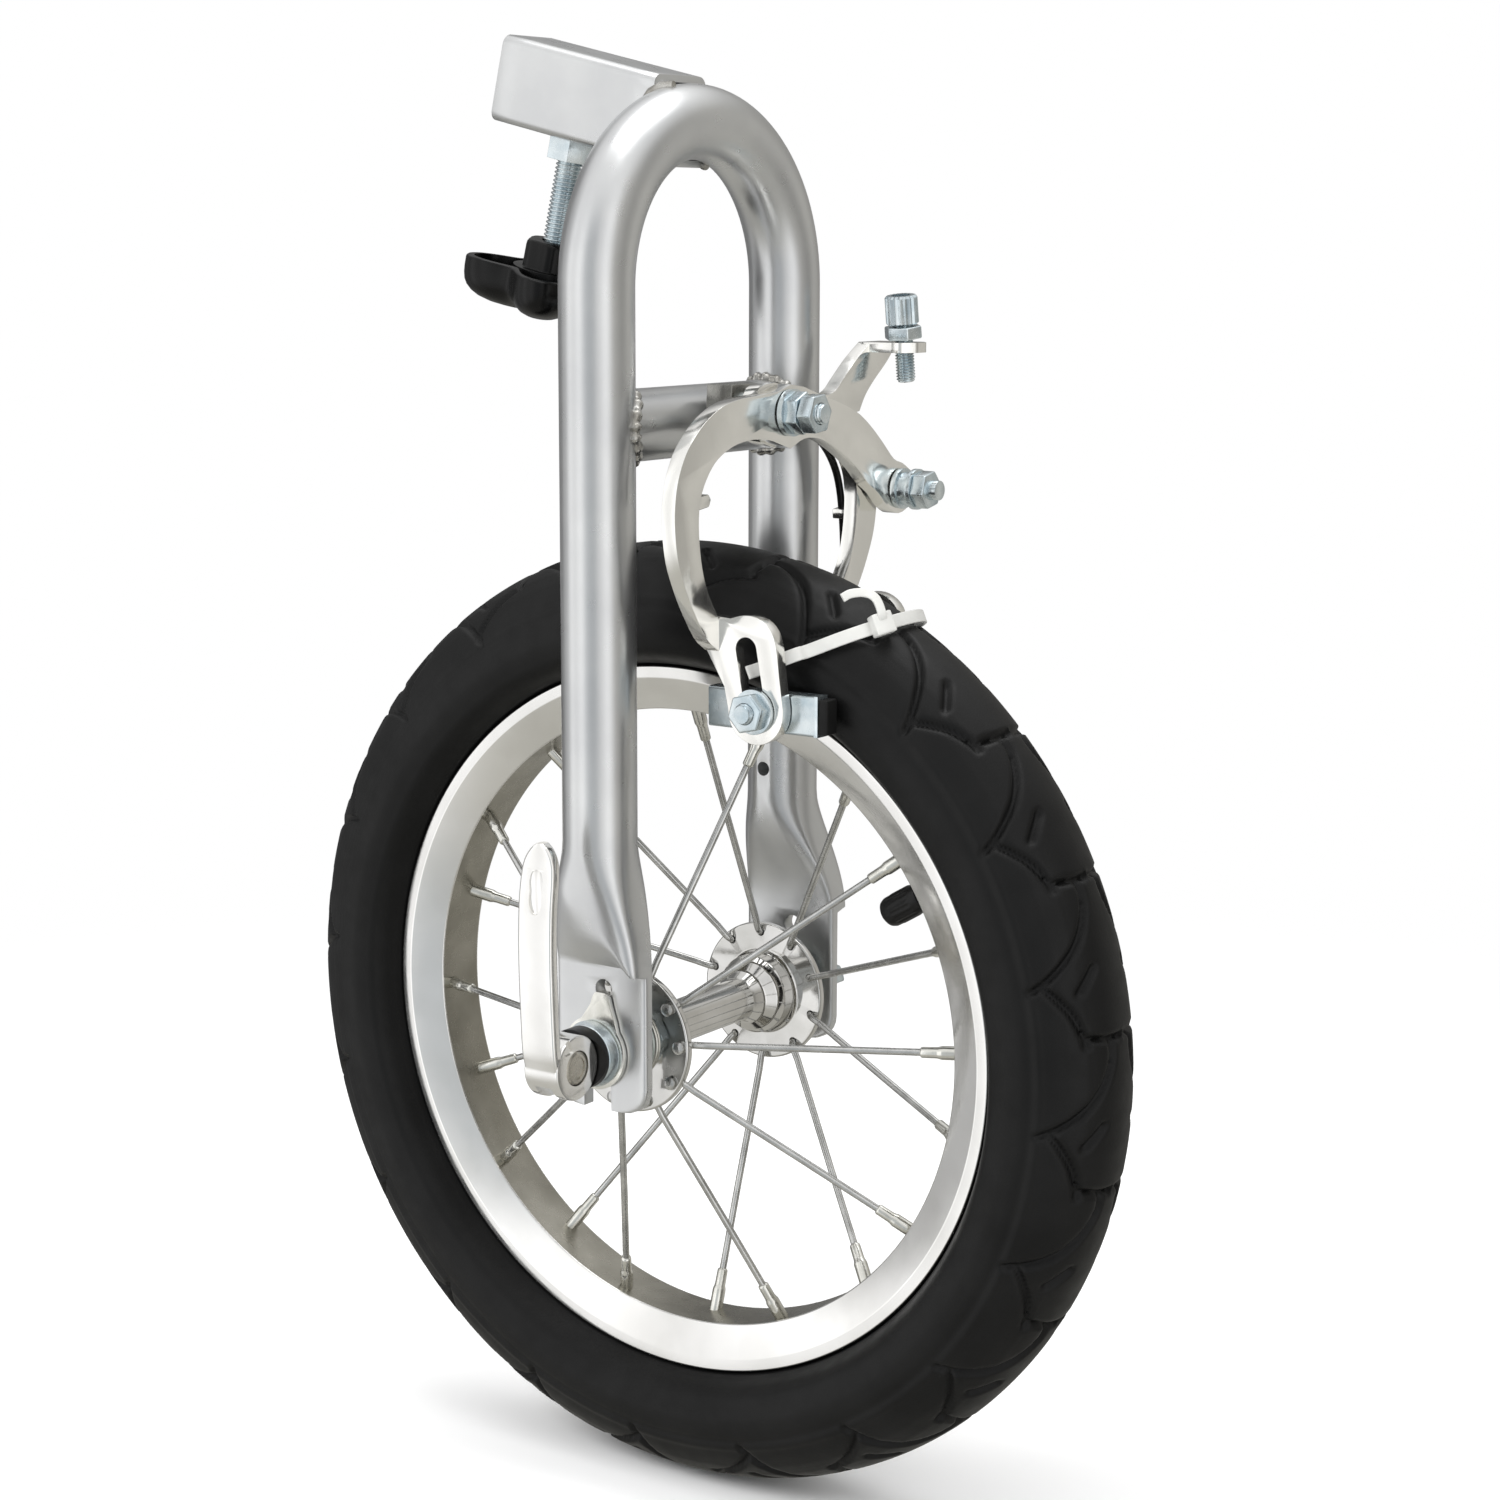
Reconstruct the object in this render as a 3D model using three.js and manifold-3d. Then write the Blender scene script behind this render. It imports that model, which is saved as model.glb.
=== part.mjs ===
// Single-wheel U-fork unit with a clamp-on square boom: 12 1/2 inch wheel, quick-release axle,
// single-pivot side-pull rim brake and a socket boom with a hand-screw clamp.
// Millimetres, +Z up, +Y along the axle away from the quick-release lever, +X towards the brake.
// Drawn about the axle centre, then moved so that the open end of the boom socket is the origin.
import * as THREE from 'three';
import { mergeVertices } from 'three/addons/utils/BufferGeometryUtils.js';
import Module from 'manifold-3d';

const wasm = await Module();
wasm.setup();
const GAP = 0.3;                 // running clearance between neighbouring pieces

// ---- driving dimensions -------------------------------------------------------------------
// wheel
const TYRE_R = 144.1, TYRE_HALF = 22.7;
const RIM_R = 108, RIM_HALF = 12.9, RIM_IN = 94.6, RIM_IN_HALF = 8.6, RIM_WALL = 1.7;
const FLANGE_IN = 33.8, FLANGE_OUT = 36.4, FLANGE_R = 21.6, SPOKE_PCR = 18.7;
const BARREL_R = 6.5, CUP_R = 12.3, HUB_BORE = 5.3, CUP_BORE = 10.3;
const AXLE_R = 4.5, AXLE_BORE = 2.9, AXLE_HALF = 50.4;
const BALL_R = 2.38, BALL_PCR = 7.65, BALL_Y = 31.4, BALLS = 9;
const SPOKE_R = 1.05, NIPPLE_R = 2.0, SPOKES_PER_SIDE = 10;
const SPOKE_PHASE_NEAR = 2.2, SPOKE_PHASE_FAR = 20.2, VALVE_DEG = 31;
// fork
const LEG_X = -1.7, LEG_Y = 47, TUBE_R = 10.8, TUBE_WALL = 1.8, BEND_Z = 218.3;
const PLATE_Y = 49, PLATE_X = 1.2, PLATE_T = 4.4, PLATE_HALF_W = 16, PLATE_TOP = 24, CRIMP_TOP = 62, PLATE_BOTTOM = -17;
const SLOT_HALF = 4.9, TAB_HOLE_X = 2.5, TAB_HOLE_Z = 19, TAB_HOLE_R = 3;
const CROSS_Z = 179.6, CROSS_R = 10.4, CROSS_WALL = 1.8;
// boom and clamp
const BOOM = 25.4, BOOM_WALL = 2, BOOM_TILT = 13.2, SOCKET = [-64.5, 0, 279], BOOM_LEN = 66;
const CLAMP_S = 22.3, SCREW_R = 4, KNOB_TOP = 44, KNOB_R = 26, KNOB_H = 13, PITCH = 1.25;
// brake
const PIV_Z = 183, PIV_R = 3, ARM_T = 4.5, FRONT_X = 31.6, REAR_X = 26.6;
const TAB_Y = 35, TAB_T = 4, SHOE_X0 = 25, SHOE_X1 = 62, SHOE_Z = 101.2, SHOE_H = 11.6, SHOE_D = 5.2, BOLT_X = 44;
const ADJ = [34.5, 57.8, 201], ADJ_TILT = 8;
// quick release
const PIN_Y = -68.3, CAM_R = 9.4, LEVER_W = 12, LEVER_TOP = 66;

// ---- helpers ------------------------------------------------------------------------------
const V = (x, y, z) => new THREE.Vector3(x, y, z);
const rad = d => d * Math.PI / 180;
function geo(verts, tris) {
  const g = new THREE.BufferGeometry();
  g.setAttribute('position', new THREE.Float32BufferAttribute(verts.flatMap(v => [v.x, v.y, v.z]), 3));
  g.setIndex(tris.flat());
  return orient(g);
}
function volume(g) {
  const p = g.attributes.position, i = g.index; let s = 0;
  const a = V(), b = V(), c = V();
  for (let k = 0; k < i.count; k += 3) {
    a.fromBufferAttribute(p, i.getX(k)); b.fromBufferAttribute(p, i.getX(k + 1)); c.fromBufferAttribute(p, i.getX(k + 2));
    s += a.dot(b.cross(c));
  }
  return s / 6;
}
function orient(g) {
  if (volume(g) < 0) { const a = g.index.array; for (let k = 0; k < a.length; k += 3) { const t = a[k]; a[k] = a[k + 2]; a[k + 2] = t; } }
  return g;
}
// rings of equal length, joined in turn; caps are fans about the ring's centre
function loft(rings, closed = false) {
  const n = rings[0].length, verts = rings.flat(), tris = [];
  const m = closed ? rings.length : rings.length - 1;
  for (let i = 0; i < m; i++) for (let j = 0; j < n; j++) {
    const a = i * n + j, b = i * n + (j + 1) % n, k = (i + 1) % rings.length, c = k * n + j, d = k * n + (j + 1) % n;
    tris.push([a, b, d], [a, d, c]);
  }
  if (!closed) for (const [i, flip] of [[0, false], [rings.length - 1, true]]) {
    const c = V(0, 0, 0); rings[i].forEach(q => c.add(q)); c.divideScalar(n); verts.push(c);
    for (let j = 0; j < n; j++) { const a = i * n + j, b = i * n + (j + 1) % n; tris.push(flip ? [verts.length - 1, a, b] : [verts.length - 1, b, a]); }
  }
  return geo(verts, tris);
}
// profile of [radius, height]; turned about Y. Points on the axis become poles.
function turn(profile, segs, closed) {
  const verts = [], idx = [];
  for (const [r, y] of profile) {
    if (r < 1e-9) { verts.push(V(0, y, 0)); idx.push([verts.length - 1]); } else {
      const row = [];
      for (let k = 0; k < segs; k++) { const t = 2 * Math.PI * k / segs; verts.push(V(r * Math.cos(t), y, r * Math.sin(t))); row.push(verts.length - 1); }
      idx.push(row);
    }
  }
  const tris = [], m = closed ? profile.length : profile.length - 1;
  for (let i = 0; i < m; i++) {
    const A = idx[i], B = idx[(i + 1) % profile.length];
    for (let k = 0; k < segs; k++) {
      const a = A[k % A.length], b = A[(k + 1) % A.length], c = B[k % B.length], d = B[(k + 1) % B.length];
      if (A.length > 1) tris.push([a, b, d]);
      if (B.length > 1) tris.push([a, d, c]);
      else if (A.length > 1) { tris.pop(); tris.push([a, b, c]); }
    }
  }
  return geo(verts, tris.filter(t => t[0] !== t[1] && t[1] !== t[2] && t[0] !== t[2]));
}
const solidTurn = (p, s) => turn(p, s, false);
const ringTurn = (p, s) => turn(p, s, true);
// circle-section sweep along points with a radius at each point
function wire(pts, radii, n = 8) {
  const rings = []; let nrm = null;
  pts.forEach((p, i) => {
    const a = pts[Math.max(0, i - 1)], b = pts[Math.min(pts.length - 1, i + 1)];
    const t = b.clone().sub(a).normalize();
    if (!nrm) { nrm = Math.abs(t.y) < 0.9 ? V(0, 1, 0) : V(1, 0, 0); }
    nrm = nrm.clone().sub(t.clone().multiplyScalar(nrm.dot(t))).normalize();
    const bi = t.clone().cross(nrm);
    const r = Array.isArray(radii) ? radii[i] : radii;
    rings.push(Array.from({ length: n }, (_, k) => {
      const w = 2 * Math.PI * (k + 0.5) / n;
      return p.clone().add(nrm.clone().multiplyScalar(r * Math.cos(w))).add(bi.clone().multiplyScalar(r * Math.sin(w)));
    }));
  });
  return loft(rings);
}
// flat plate: outline in 2-D (with holes) pushed along its normal from d0 to d1
function plate(outline, holes, d0, d1, map) {
  const s = new THREE.Shape(outline.map(([a, b]) => new THREE.Vector2(a, b)));
  for (const h of holes) s.holes.push(new THREE.Path(h.map(([a, b]) => new THREE.Vector2(a, b))));
  let g = new THREE.ExtrudeGeometry(s, { depth: d1 - d0, bevelEnabled: false, steps: 1 });
  g.deleteAttribute('normal'); g.deleteAttribute('uv');
  g = mergeVertices(g, 1e-4);
  const p = g.attributes.position;
  for (let i = 0; i < p.count; i++) { const q = map(p.getX(i), p.getY(i), p.getZ(i) + d0); p.setXYZ(i, q[0], q[1], q[2]); }
  return orient(g);
}
const circle = (cx, cy, r, n, a0 = 0) => Array.from({ length: n }, (_, k) => [cx + r * Math.cos(a0 + 2 * Math.PI * k / n), cy + r * Math.sin(a0 + 2 * Math.PI * k / n)]);
const M = g => {
  let h = g.clone(); h.deleteAttribute('normal'); h.deleteAttribute('uv'); h = mergeVertices(h, 1e-4);
  return new wasm.Manifold(new wasm.Mesh({ numProp: 3, vertProperties: new Float32Array(h.attributes.position.array), triVerts: new Uint32Array(h.index.array) }));
};
const G = m => {
  const q = m.getMesh(), g = new THREE.BufferGeometry();
  const v = q.vertProperties, np = q.numProp, out = new Float32Array(v.length / np * 3);
  for (let i = 0; i < v.length / np; i++) for (let k = 0; k < 3; k++) out[i * 3 + k] = v[i * np + k];
  g.setAttribute('position', new THREE.BufferAttribute(out, 3)); g.setIndex(Array.from(q.triVerts)); return g;
};
const cut = (a, ...b) => G(b.reduce((m, x) => m.subtract(M(x)), M(a)));
const join = (a, ...b) => G(b.reduce((m, x) => m.add(M(x)), M(a)));
// plain round bar between two points
const bar = (p, q, r, n = 12) => wire([p, q], r, n);
// bar along X, Y or Z with n sides; a hexagon with its corner radius when n is 6
const rodX = (x0, x1, y, z, r, n = 12) => plate(circle(0, 0, r, n, n === 6 ? Math.PI / 6 : Math.PI / n), [], x0, x1, (a, b, d) => [d, y + a, z + b]);
const rodY = (y0, y1, x, z, r, n = 12) => plate(circle(0, 0, r, n, n === 6 ? Math.PI / 6 : Math.PI / n), [], y0, y1, (a, b, d) => [x + b, d, z + a]);
const tubeX = (x0, x1, y, z, r, ri, n = 12, ni = 12) => plate(circle(0, 0, r, n, Math.PI / n), [circle(0, 0, ri, ni)], x0, x1, (a, b, d) => [d, y + a, z + b]);
const tubeY = (y0, y1, x, z, r, ri, n = 12, ni = 12) => plate(circle(0, 0, r, n, Math.PI / n), [circle(0, 0, ri, ni)], y0, y1, (a, b, d) => [x + b, d, z + a]);
const box = (x0, x1, y0, y1, z0, z1) => plate([[x0, z0], [x1, z0], [x1, z1], [x0, z1]], [], y0, y1, (a, b, d) => [a, d, b]);
const mirrorY = g => { const h = g.clone(); h.scale(1, -1, 1); return orient(h); };

const root = new THREE.Group();
root.name = 'single_wheel_fork_unit';
root.position.set(-SOCKET[0], -SOCKET[1], -SOCKET[2]);
const finish = {
  fork: ['#b9bab6', 0.36, 0.75], chrome: ['#c9c8c4', 0.12, 1], zinc: ['#bcc6cb', 0.3, 0.9], alu: ['#cfcdc8', 0.22, 0.95],
  steel: ['#b7b9b8', 0.3, 0.9], rubber: ['#191919', 0.75, 0], black: ['#131313', 0.5, 0], nylon: ['#ececea', 0.45, 0], brass: ['#a88a5a', 0.35, 0.9],
};
function add(name, g, kind) {
  const h = g.clone(); h.deleteAttribute('normal'); h.deleteAttribute('uv');
  const m = mergeVertices(h, 1e-4); m.computeVertexNormals();
  const [c, r, mt] = finish[kind];
  const mesh = new THREE.Mesh(m, new THREE.MeshStandardMaterial({ color: c, roughness: r, metalness: mt }));
  mesh.name = name; root.add(mesh);
}

// ---- fork ---------------------------------------------------------------------------------
const smooth = t => t * t * (3 - 2 * t);
function legRing(side, z, rTube, n, bottomW = null) {
  // side -1 near, +1 far; section half sizes go from the round tube to the flat fork end
  const f = smooth(Math.min(1, Math.max(0, (CRIMP_TOP - z) / (CRIMP_TOP - PLATE_TOP))));
  const a = (bottomW ?? (rTube + (PLATE_HALF_W - rTube) * f)), b = rTube + (PLATE_T / 2 - rTube) * f, e = 2 / (2 + 5 * f);
  const cy = LEG_Y + (PLATE_Y - LEG_Y) * f, cx = LEG_X + (PLATE_X - LEG_X) * f;
  return Array.from({ length: n }, (_, k) => {
    const t = 2 * Math.PI * (k + 0.5) / n, c = Math.cos(t), s = Math.sin(t);
    return V(cx + a * Math.sign(c) * Math.abs(c) ** e, side * (cy + b * Math.sign(s) * Math.abs(s) ** e), z);
  });
}
function bendRing(t, r, n) {
  // t from 0 (near leg) to pi (far leg)
  return Array.from({ length: n }, (_, k) => {
    const w = 2 * Math.PI * (k + 0.5) / n, c = Math.cos(w), s = Math.sin(w);
    const R = LEG_Y + r * s;
    return V(LEG_X + r * c, -R * Math.cos(t), BEND_Z + R * Math.sin(t));
  });
}
function forkLoft(r, n, steps, low) {
  const near = low.map(([z, w]) => legRing(-1, z, r, n, w)), far = low.map(([z, w]) => legRing(1, z, r, n, w));
  const arc = []; for (let i = 0; i <= steps; i++) arc.push(bendRing(Math.PI * i / steps, r, n));
  return loft([...near, ...arc, ...far.reverse()]);
}
const lowRings = [[PLATE_BOTTOM, 8.5], [-9.5, PLATE_HALF_W], [8, PLATE_HALF_W], [PLATE_TOP, null], [34, null], [43, null], [52, null], [CRIMP_TOP, null], [120, null]];
const outer = forkLoft(TUBE_R, 16, 13, lowRings);
const innerR = TUBE_R - TUBE_WALL;
const inner = forkLoft(innerR, 10, 10, [[CRIMP_TOP + 1, null], [120, null]]);
const slotTool = side => join(
  plate([[-SLOT_HALF, -30], [SLOT_HALF, -30], [SLOT_HALF, 0], [-SLOT_HALF, 0]], [], 40, 60, (a, b, d) => [a, side * d, b]),
  rodY(side < 0 ? -60 : 40, side < 0 ? -40 : 60, 0, 0, SLOT_HALF, 16));
const forkCut = [inner, slotTool(-1), slotTool(1)];
for (const s of [-1, 1]) forkCut.push(rodY(s < 0 ? -60 : 38, s < 0 ? -38 : 60, TAB_HOLE_X, TAB_HOLE_Z, TAB_HOLE_R, 10));
// vent holes on the inside of each leg
for (const s of [-1, 1]) forkCut.push(rodY(s < 0 ? -47 : 33, s < 0 ? -33 : 47, LEG_X, CRIMP_TOP + 8, 2.2, 8));
add('fork_tube', cut(outer, ...forkCut), 'fork');

// cross tube, fish-mouthed to the legs, cross-drilled for the brake bolt
const crossBody = tubeY(-LEG_Y, LEG_Y, LEG_X, CROSS_Z, CROSS_R, CROSS_R - CROSS_WALL, 20, 14);
add('cross_tube', cut(crossBody, bar(V(LEG_X, -LEG_Y, 130), V(LEG_X, -LEG_Y, 230), TUBE_R + GAP, 24), bar(V(LEG_X, LEG_Y, 130), V(LEG_X, LEG_Y, 230), TUBE_R + GAP, 24),
  rodX(-20, 20, 0, PIV_Z, PIV_R + 0.4, 12)), 'fork');

// ---- boom socket and hand-screw clamp -----------------------------------------------------
const bt = rad(BOOM_TILT), bd = V(Math.cos(bt), 0, -Math.sin(bt)), bu = V(Math.sin(bt), 0, Math.cos(bt)), E = V(...SOCKET);
const onBoom = (s, u, y) => [E.x + bd.x * s + bu.x * u, y, E.z + bd.z * s + bu.z * u];
function roundSquare(h, r, n = 3) {
  const out = [];
  for (const [sx, sy, a0] of [[1, 1, 0], [-1, 1, 90], [-1, -1, 180], [1, -1, 270]])
    for (let k = 0; k <= n; k++) { const a = rad(a0 + 90 * k / n); out.push([sx * (h - r) + r * Math.cos(a), sy * (h - r) + r * Math.sin(a)]); }
  return out;
}
const boomBody = plate(roundSquare(BOOM / 2, 3), [roundSquare(BOOM / 2 - BOOM_WALL, 1.4, 2)], 0, BOOM_LEN, (a, b, d) => onBoom(d, b, a));
const bendTool = []; for (let i = 0; i <= 12; i++) bendTool.push(bendRing(rad(20 + 140 * i / 12), TUBE_R + GAP, 20));
const screwHole = bar(V(...onBoom(CLAMP_S, -BOOM / 2 + 4, 0)), V(...onBoom(CLAMP_S, -BOOM / 2 - 4, 0)), SCREW_R + 0.5, 14);
const boomTrim = plate([[-5, -40], [60, -40], [60, 40], [-5, 40]], [], -40, 40, (a, b, d) => [LEG_X + a, d, 265 + b]);
add('boom_tube', cut(boomBody, loft(bendTool), screwHole, boomTrim), 'fork');

const clampRod = (u0, u1, r, n) => wire([V(...onBoom(CLAMP_S, u0, 0)), V(...onBoom(CLAMP_S, u1, 0))], r, n);
const onClamp = (a, b, u) => onBoom(CLAMP_S + a, u, b);
const clampRing = (u0, u1, r, ri, n, ni) => plate(circle(0, 0, r, n), [circle(0, 0, ri, ni)], u0, u1, (a, b, d) => onClamp(a, b, d));
add('clamp_nut', clampRing(-BOOM / 2 - GAP - 6.5, -BOOM / 2 - GAP, 7.5, SCREW_R + 0.3, 6, 14), 'zinc');
const SCREW_TOP = -BOOM / 2 + BOOM_WALL + 1;
add('clamp_screw', clampRod(SCREW_TOP, -KNOB_TOP - 12, SCREW_R, 14), 'zinc');
// four-lobed hand knob with hollow lobes, on a tall boss
const lobe = []; const LN = 40, LOBE0 = 32;
for (let k = 0; k < LN; k++) { const t = 2 * Math.PI * k / LN; const r = KNOB_R - 6.5 + 6.5 * Math.cos(4 * (t - rad(LOBE0))); lobe.push([r * Math.cos(t), r * Math.sin(t)]); }
const knobLobes = plate(lobe, [], -KNOB_TOP - 8.5 - KNOB_H, -KNOB_TOP - 8.5, (a, b, d) => onClamp(a, b, d));
const knobBoss = clampRing(-KNOB_TOP - 17, -KNOB_TOP, 8.7, SCREW_R + GAP, 18, 14);
const pockets = [0, 90, 180, 270].map(q => q + LOBE0).map(a => plate(circle(16.5, 0, 4.6, 10), [], -KNOB_TOP - 16, -KNOB_TOP - 7, (p, q, d) => onClamp(p * Math.cos(rad(a)) - q * Math.sin(rad(a)), p * Math.sin(rad(a)) + q * Math.cos(rad(a)), d)));
const knobBore = clampRod(-KNOB_TOP + 1, -KNOB_TOP - 12 - GAP, SCREW_R + GAP, 14);
add('clamp_knob', cut(join(knobLobes, knobBoss), ...pockets, knobBore), 'black');

// ---- wheel --------------------------------------------------------------------------------
const sym = half => [...half.map(([y, r]) => [r, y]), ...half.slice().reverse().filter(([y]) => y > 1e-6).map(([y, r]) => [r, -y])];
const tyreOut = [[0, TYRE_R], [8, 142.7], [14.6, 138.6], [19.6, 131.8], [TYRE_HALF, 121.5], [20.6, 113.2], [13.4, 108.9], [10.8, 108.4], [10.6, 104.4], [9.6, 102.4]];
const tyreIn = [[7.4, 101.9], [7.6, 106.2], [16.6, 114.2], [19.6, 121.5], [16.8, 130.2], [8.6, 138.6], [0, 140.4]];
// closed C section: outer half, inner half, then mirrored back
const tyreHalf = [...tyreOut, ...tyreIn];
const tyreProfile = [...tyreHalf.map(([y, r]) => [r, y]), ...tyreHalf.slice(1, -1).reverse().map(([y, r]) => [r, -y])];
add('tyre', ringTurn(tyreProfile, 60), 'rubber');
const tubeHalf = [[0, 102.2], [6.2, 102.6], [6.8, 106.6], [15.4, 114.6], [18.7, 121.5], [15.8, 129.6], [7.8, 137.4], [0, 138.6]];
const tubeProfile = [...tubeHalf.map(([y, r]) => [r, y]), ...tubeHalf.slice(1, -1).reverse().map(([y, r]) => [r, -y])];
const va = rad(VALVE_DEG), vd = V(Math.cos(va), 0, Math.sin(va));
const stem = (r0, r1, r, n) => bar(vd.clone().multiplyScalar(r0), vd.clone().multiplyScalar(r1), r, n);
add('inner_tube', join(ringTurn(tubeProfile, 44), stem(83.8, 108, 3.6, 10)), 'rubber');
add('valve_cap', join(cut(stem(77.5, 91.5, 4.6, 12), stem(81.8, 93, 4.0, 10))), 'black');

const rimProfile = [
  [RIM_R, RIM_HALF], [RIM_R, 11.3], [RIM_R - 4, 11.2], [RIM_IN + RIM_WALL, 7.4],
  [RIM_IN + RIM_WALL, -7.4], [RIM_R - 4, -11.2], [RIM_R, -11.3], [RIM_R, -RIM_HALF],
  [RIM_R - 3.5, -RIM_HALF + 0.1], [RIM_IN, -RIM_IN_HALF], [RIM_IN, RIM_IN_HALF], [RIM_R - 3.5, RIM_HALF - 0.1]];
// spokes: head outside the flange, elbow, straight run, nipple through the rim
const spokes = [];
for (const side of [-1, 1]) for (let k = 0; k < SPOKES_PER_SIDE; k++) {
  const a = rad((side < 0 ? SPOKE_PHASE_NEAR : SPOKE_PHASE_FAR) + 36 * k), u = V(Math.cos(a), 0, Math.sin(a));
  const at = (r, y) => u.clone().multiplyScalar(r).add(V(0, side * y, 0));
  const end = at(95.5, 3), dir = end.clone().sub(at(20.8, 32.1)).normalize();
  spokes.push({ at, dir, end, side, a });
}
const nippleHole = s => bar(s.end.clone().addScaledVector(s.dir, -9), s.end.clone().addScaledVector(s.dir, 3.5), 2.5, 6);
add('rim', cut(ringTurn(rimProfile, 60), ...spokes.map(nippleHole), stem(88, 99, 4.1, 10)), 'alu');
spokes.forEach((s, i) => {
  const e = s.end, p = k => e.clone().addScaledVector(s.dir, k);
  const pts = [s.at(SPOKE_PCR, FLANGE_OUT + 1.4), s.at(SPOKE_PCR, FLANGE_OUT + 0.35), s.at(SPOKE_PCR, FLANGE_OUT + 0.2), s.at(SPOKE_PCR, FLANGE_IN - 0.3), s.at(20.8, 32.1),
    p(-14), p(-13), p(2.1), p(2.3), p(3.8)];
  const rr = [1.5, 1.9, SPOKE_R, SPOKE_R, SPOKE_R, SPOKE_R, NIPPLE_R, NIPPLE_R, 2.9, 2.9];
  add('spoke_' + String(i + 1).padStart(2, '0'), wire(pts, rr, 6), 'steel');
});
// hub shell: chrome barrel flaring to the bearing cups, drilled flanges
const hubHalf = [[0, BARREL_R], [20, BARREL_R], [23.5, 8], [26, 11], [28.2, CUP_R], [FLANGE_IN - 1.2, CUP_R], [FLANGE_IN, CUP_R + 1], [FLANGE_IN, FLANGE_R], [FLANGE_OUT, FLANGE_R],
  [FLANGE_OUT, 11.5], [FLANGE_OUT - 0.5, 9], [FLANGE_OUT - 1.3, 9], [FLANGE_OUT - 1.5, CUP_BORE], [28.6, CUP_BORE], [26.8, 7.6], [24.8, HUB_BORE], [0, HUB_BORE]];
const hubProfile = [...hubHalf.map(([y, r]) => [r, y]), ...hubHalf.slice(1, -1).reverse().map(([y, r]) => [r, -y])];
const spokeHoles = spokes.map(s => bar(s.at(SPOKE_PCR, FLANGE_IN - 2), s.at(SPOKE_PCR, FLANGE_OUT + 2), 1.5, 6));
add('hub_shell', cut(ringTurn(hubProfile, 28), ...spokeHoles), 'chrome');
for (const [nm, s] of [['near', -1], ['far', 1]]) {
  const balls = [];
  for (let k = 0; k < BALLS; k++) { const t = 2 * Math.PI * k / BALLS; const b = new THREE.IcosahedronGeometry(BALL_R, 0); b.deleteAttribute('normal'); b.deleteAttribute('uv'); const h = mergeVertices(b, 1e-4); h.translate(BALL_PCR * Math.cos(t), s * BALL_Y, BALL_PCR * Math.sin(t)); balls.push(h); }
  const cage = ringTurn([[BALL_PCR - 0.9, s * (BALL_Y - 0.9)], [BALL_PCR + 0.9, s * (BALL_Y - 0.9)], [BALL_PCR + 0.9, s * (BALL_Y + 0.9)], [BALL_PCR - 0.9, s * (BALL_Y + 0.9)]], 18);
  add('ball_ring_' + nm, join(cage, ...balls), 'steel');
  // bearing cone with its locknut, screwed on the axle
  const cone = ringTurn([[AXLE_R + GAP, s * 34.1], [5.6, s * 34.1], [7.9, s * 35.4], [8, s * 42.2], [AXLE_R + GAP, s * 42.2]], 24);
  const lock = tubeY(s < 0 ? -46.4 : 41.6, s < 0 ? -41.6 : 46.4, 0, 0, 8.6, AXLE_R + GAP, 6, 24);
  add('cone_' + nm, join(cone, lock), 'zinc');
  // tabbed retention washer outside the fork end
  const wy0 = PLATE_Y + PLATE_T / 2 + GAP, wy1 = wy0 + 1.4;
  const tab = plate([[-5, 6], [6, 6], [5.7, 16], [5.7, 22], [-0.7, 22], [-0.7, 16]], [], wy0, wy1, (a, b, d) => [a, s * d, b]);
  const ring = plate(circle(0, 0, 10.8, 24), [circle(0, 0, 3.2, 14)], wy0, wy1, (a, b, d) => [a, s * d, b]);
  const hook = rodY(s < 0 ? -wy0 - 0.5 : wy0 - 2.2, s < 0 ? -wy0 + 2.2 : wy0 + 0.5, TAB_HOLE_X, TAB_HOLE_Z, 2.3, 8);
  add('retention_washer_' + nm, cut(join(ring, tab, hook), rodY(-70, 70, 0, 0, 3.2, 14)), 'zinc');
}
add('axle', tubeY(-AXLE_HALF, AXLE_HALF, 0, 0, AXLE_R, AXLE_BORE, 20, 14), 'steel');

// ---- quick release ------------------------------------------------------------------------
const WASH_OUT = PLATE_Y + PLATE_T / 2 + GAP + 1.4;     // outer face of the retention washer
const CUP0 = WASH_OUT + GAP, CUP1 = CUP0 + 3.8;
add('qr_cup_washer', (() => { const p = [[3, -CUP0], [9.6, -CUP0], [9.8, -CUP0 - 0.8], [9.2, -CUP1 + 0.6], [8.8, -CUP1], [3, -CUP1]]; return ringTurn(p, 28); })(), 'zinc');
add('qr_cam_follower', cut(tubeY(-CUP1 - 6.2, -CUP1 - GAP, 0, 0, 9, 3, 28, 14), rodX(-12, 12, PIN_Y, 0, CAM_R + GAP, 40)), 'black');
const rod = rodY(PIN_Y, 67.5, 0, 0, 2.5, 12);
add('qr_skewer', join(rod, rodX(-5.9, 5.9, PIN_Y, 0, 4.9, 18)), 'brass');
// lever: cam head around the pin with a slot for the rod, and a bowed flat handle
const camHead = rodX(-LEVER_W / 2, LEVER_W / 2, PIN_Y, 0, CAM_R, 36);
const handlePts = [[-7.3, -1], [-8.8, 6], [-9.4, 16], [-9.9, 28], [-10, 38], [-9.6, 48], [-8.6, 57], [-7.4, LEVER_TOP]];
const handle = loft(handlePts.map(([dy, z], i) => {
  const w = i >= 6 ? (i === 7 ? 3.6 : 5.6) : 6, t = 1.75;
  return [V(-w, PIN_Y + dy - t, z), V(w, PIN_Y + dy - t, z), V(w, PIN_Y + dy + t, z), V(-w, PIN_Y + dy + t, z)];
}));
const sector = [[0, 0]]; for (let k = 0; k <= 10; k++) { const a = rad(28 - 188 * k / 10); sector.push([16 * Math.cos(a), 16 * Math.sin(a)]); }
const rodSlot = plate(sector, [], -2.9, 2.9, (a, b, d) => [d, PIN_Y + a, b]);
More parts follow.
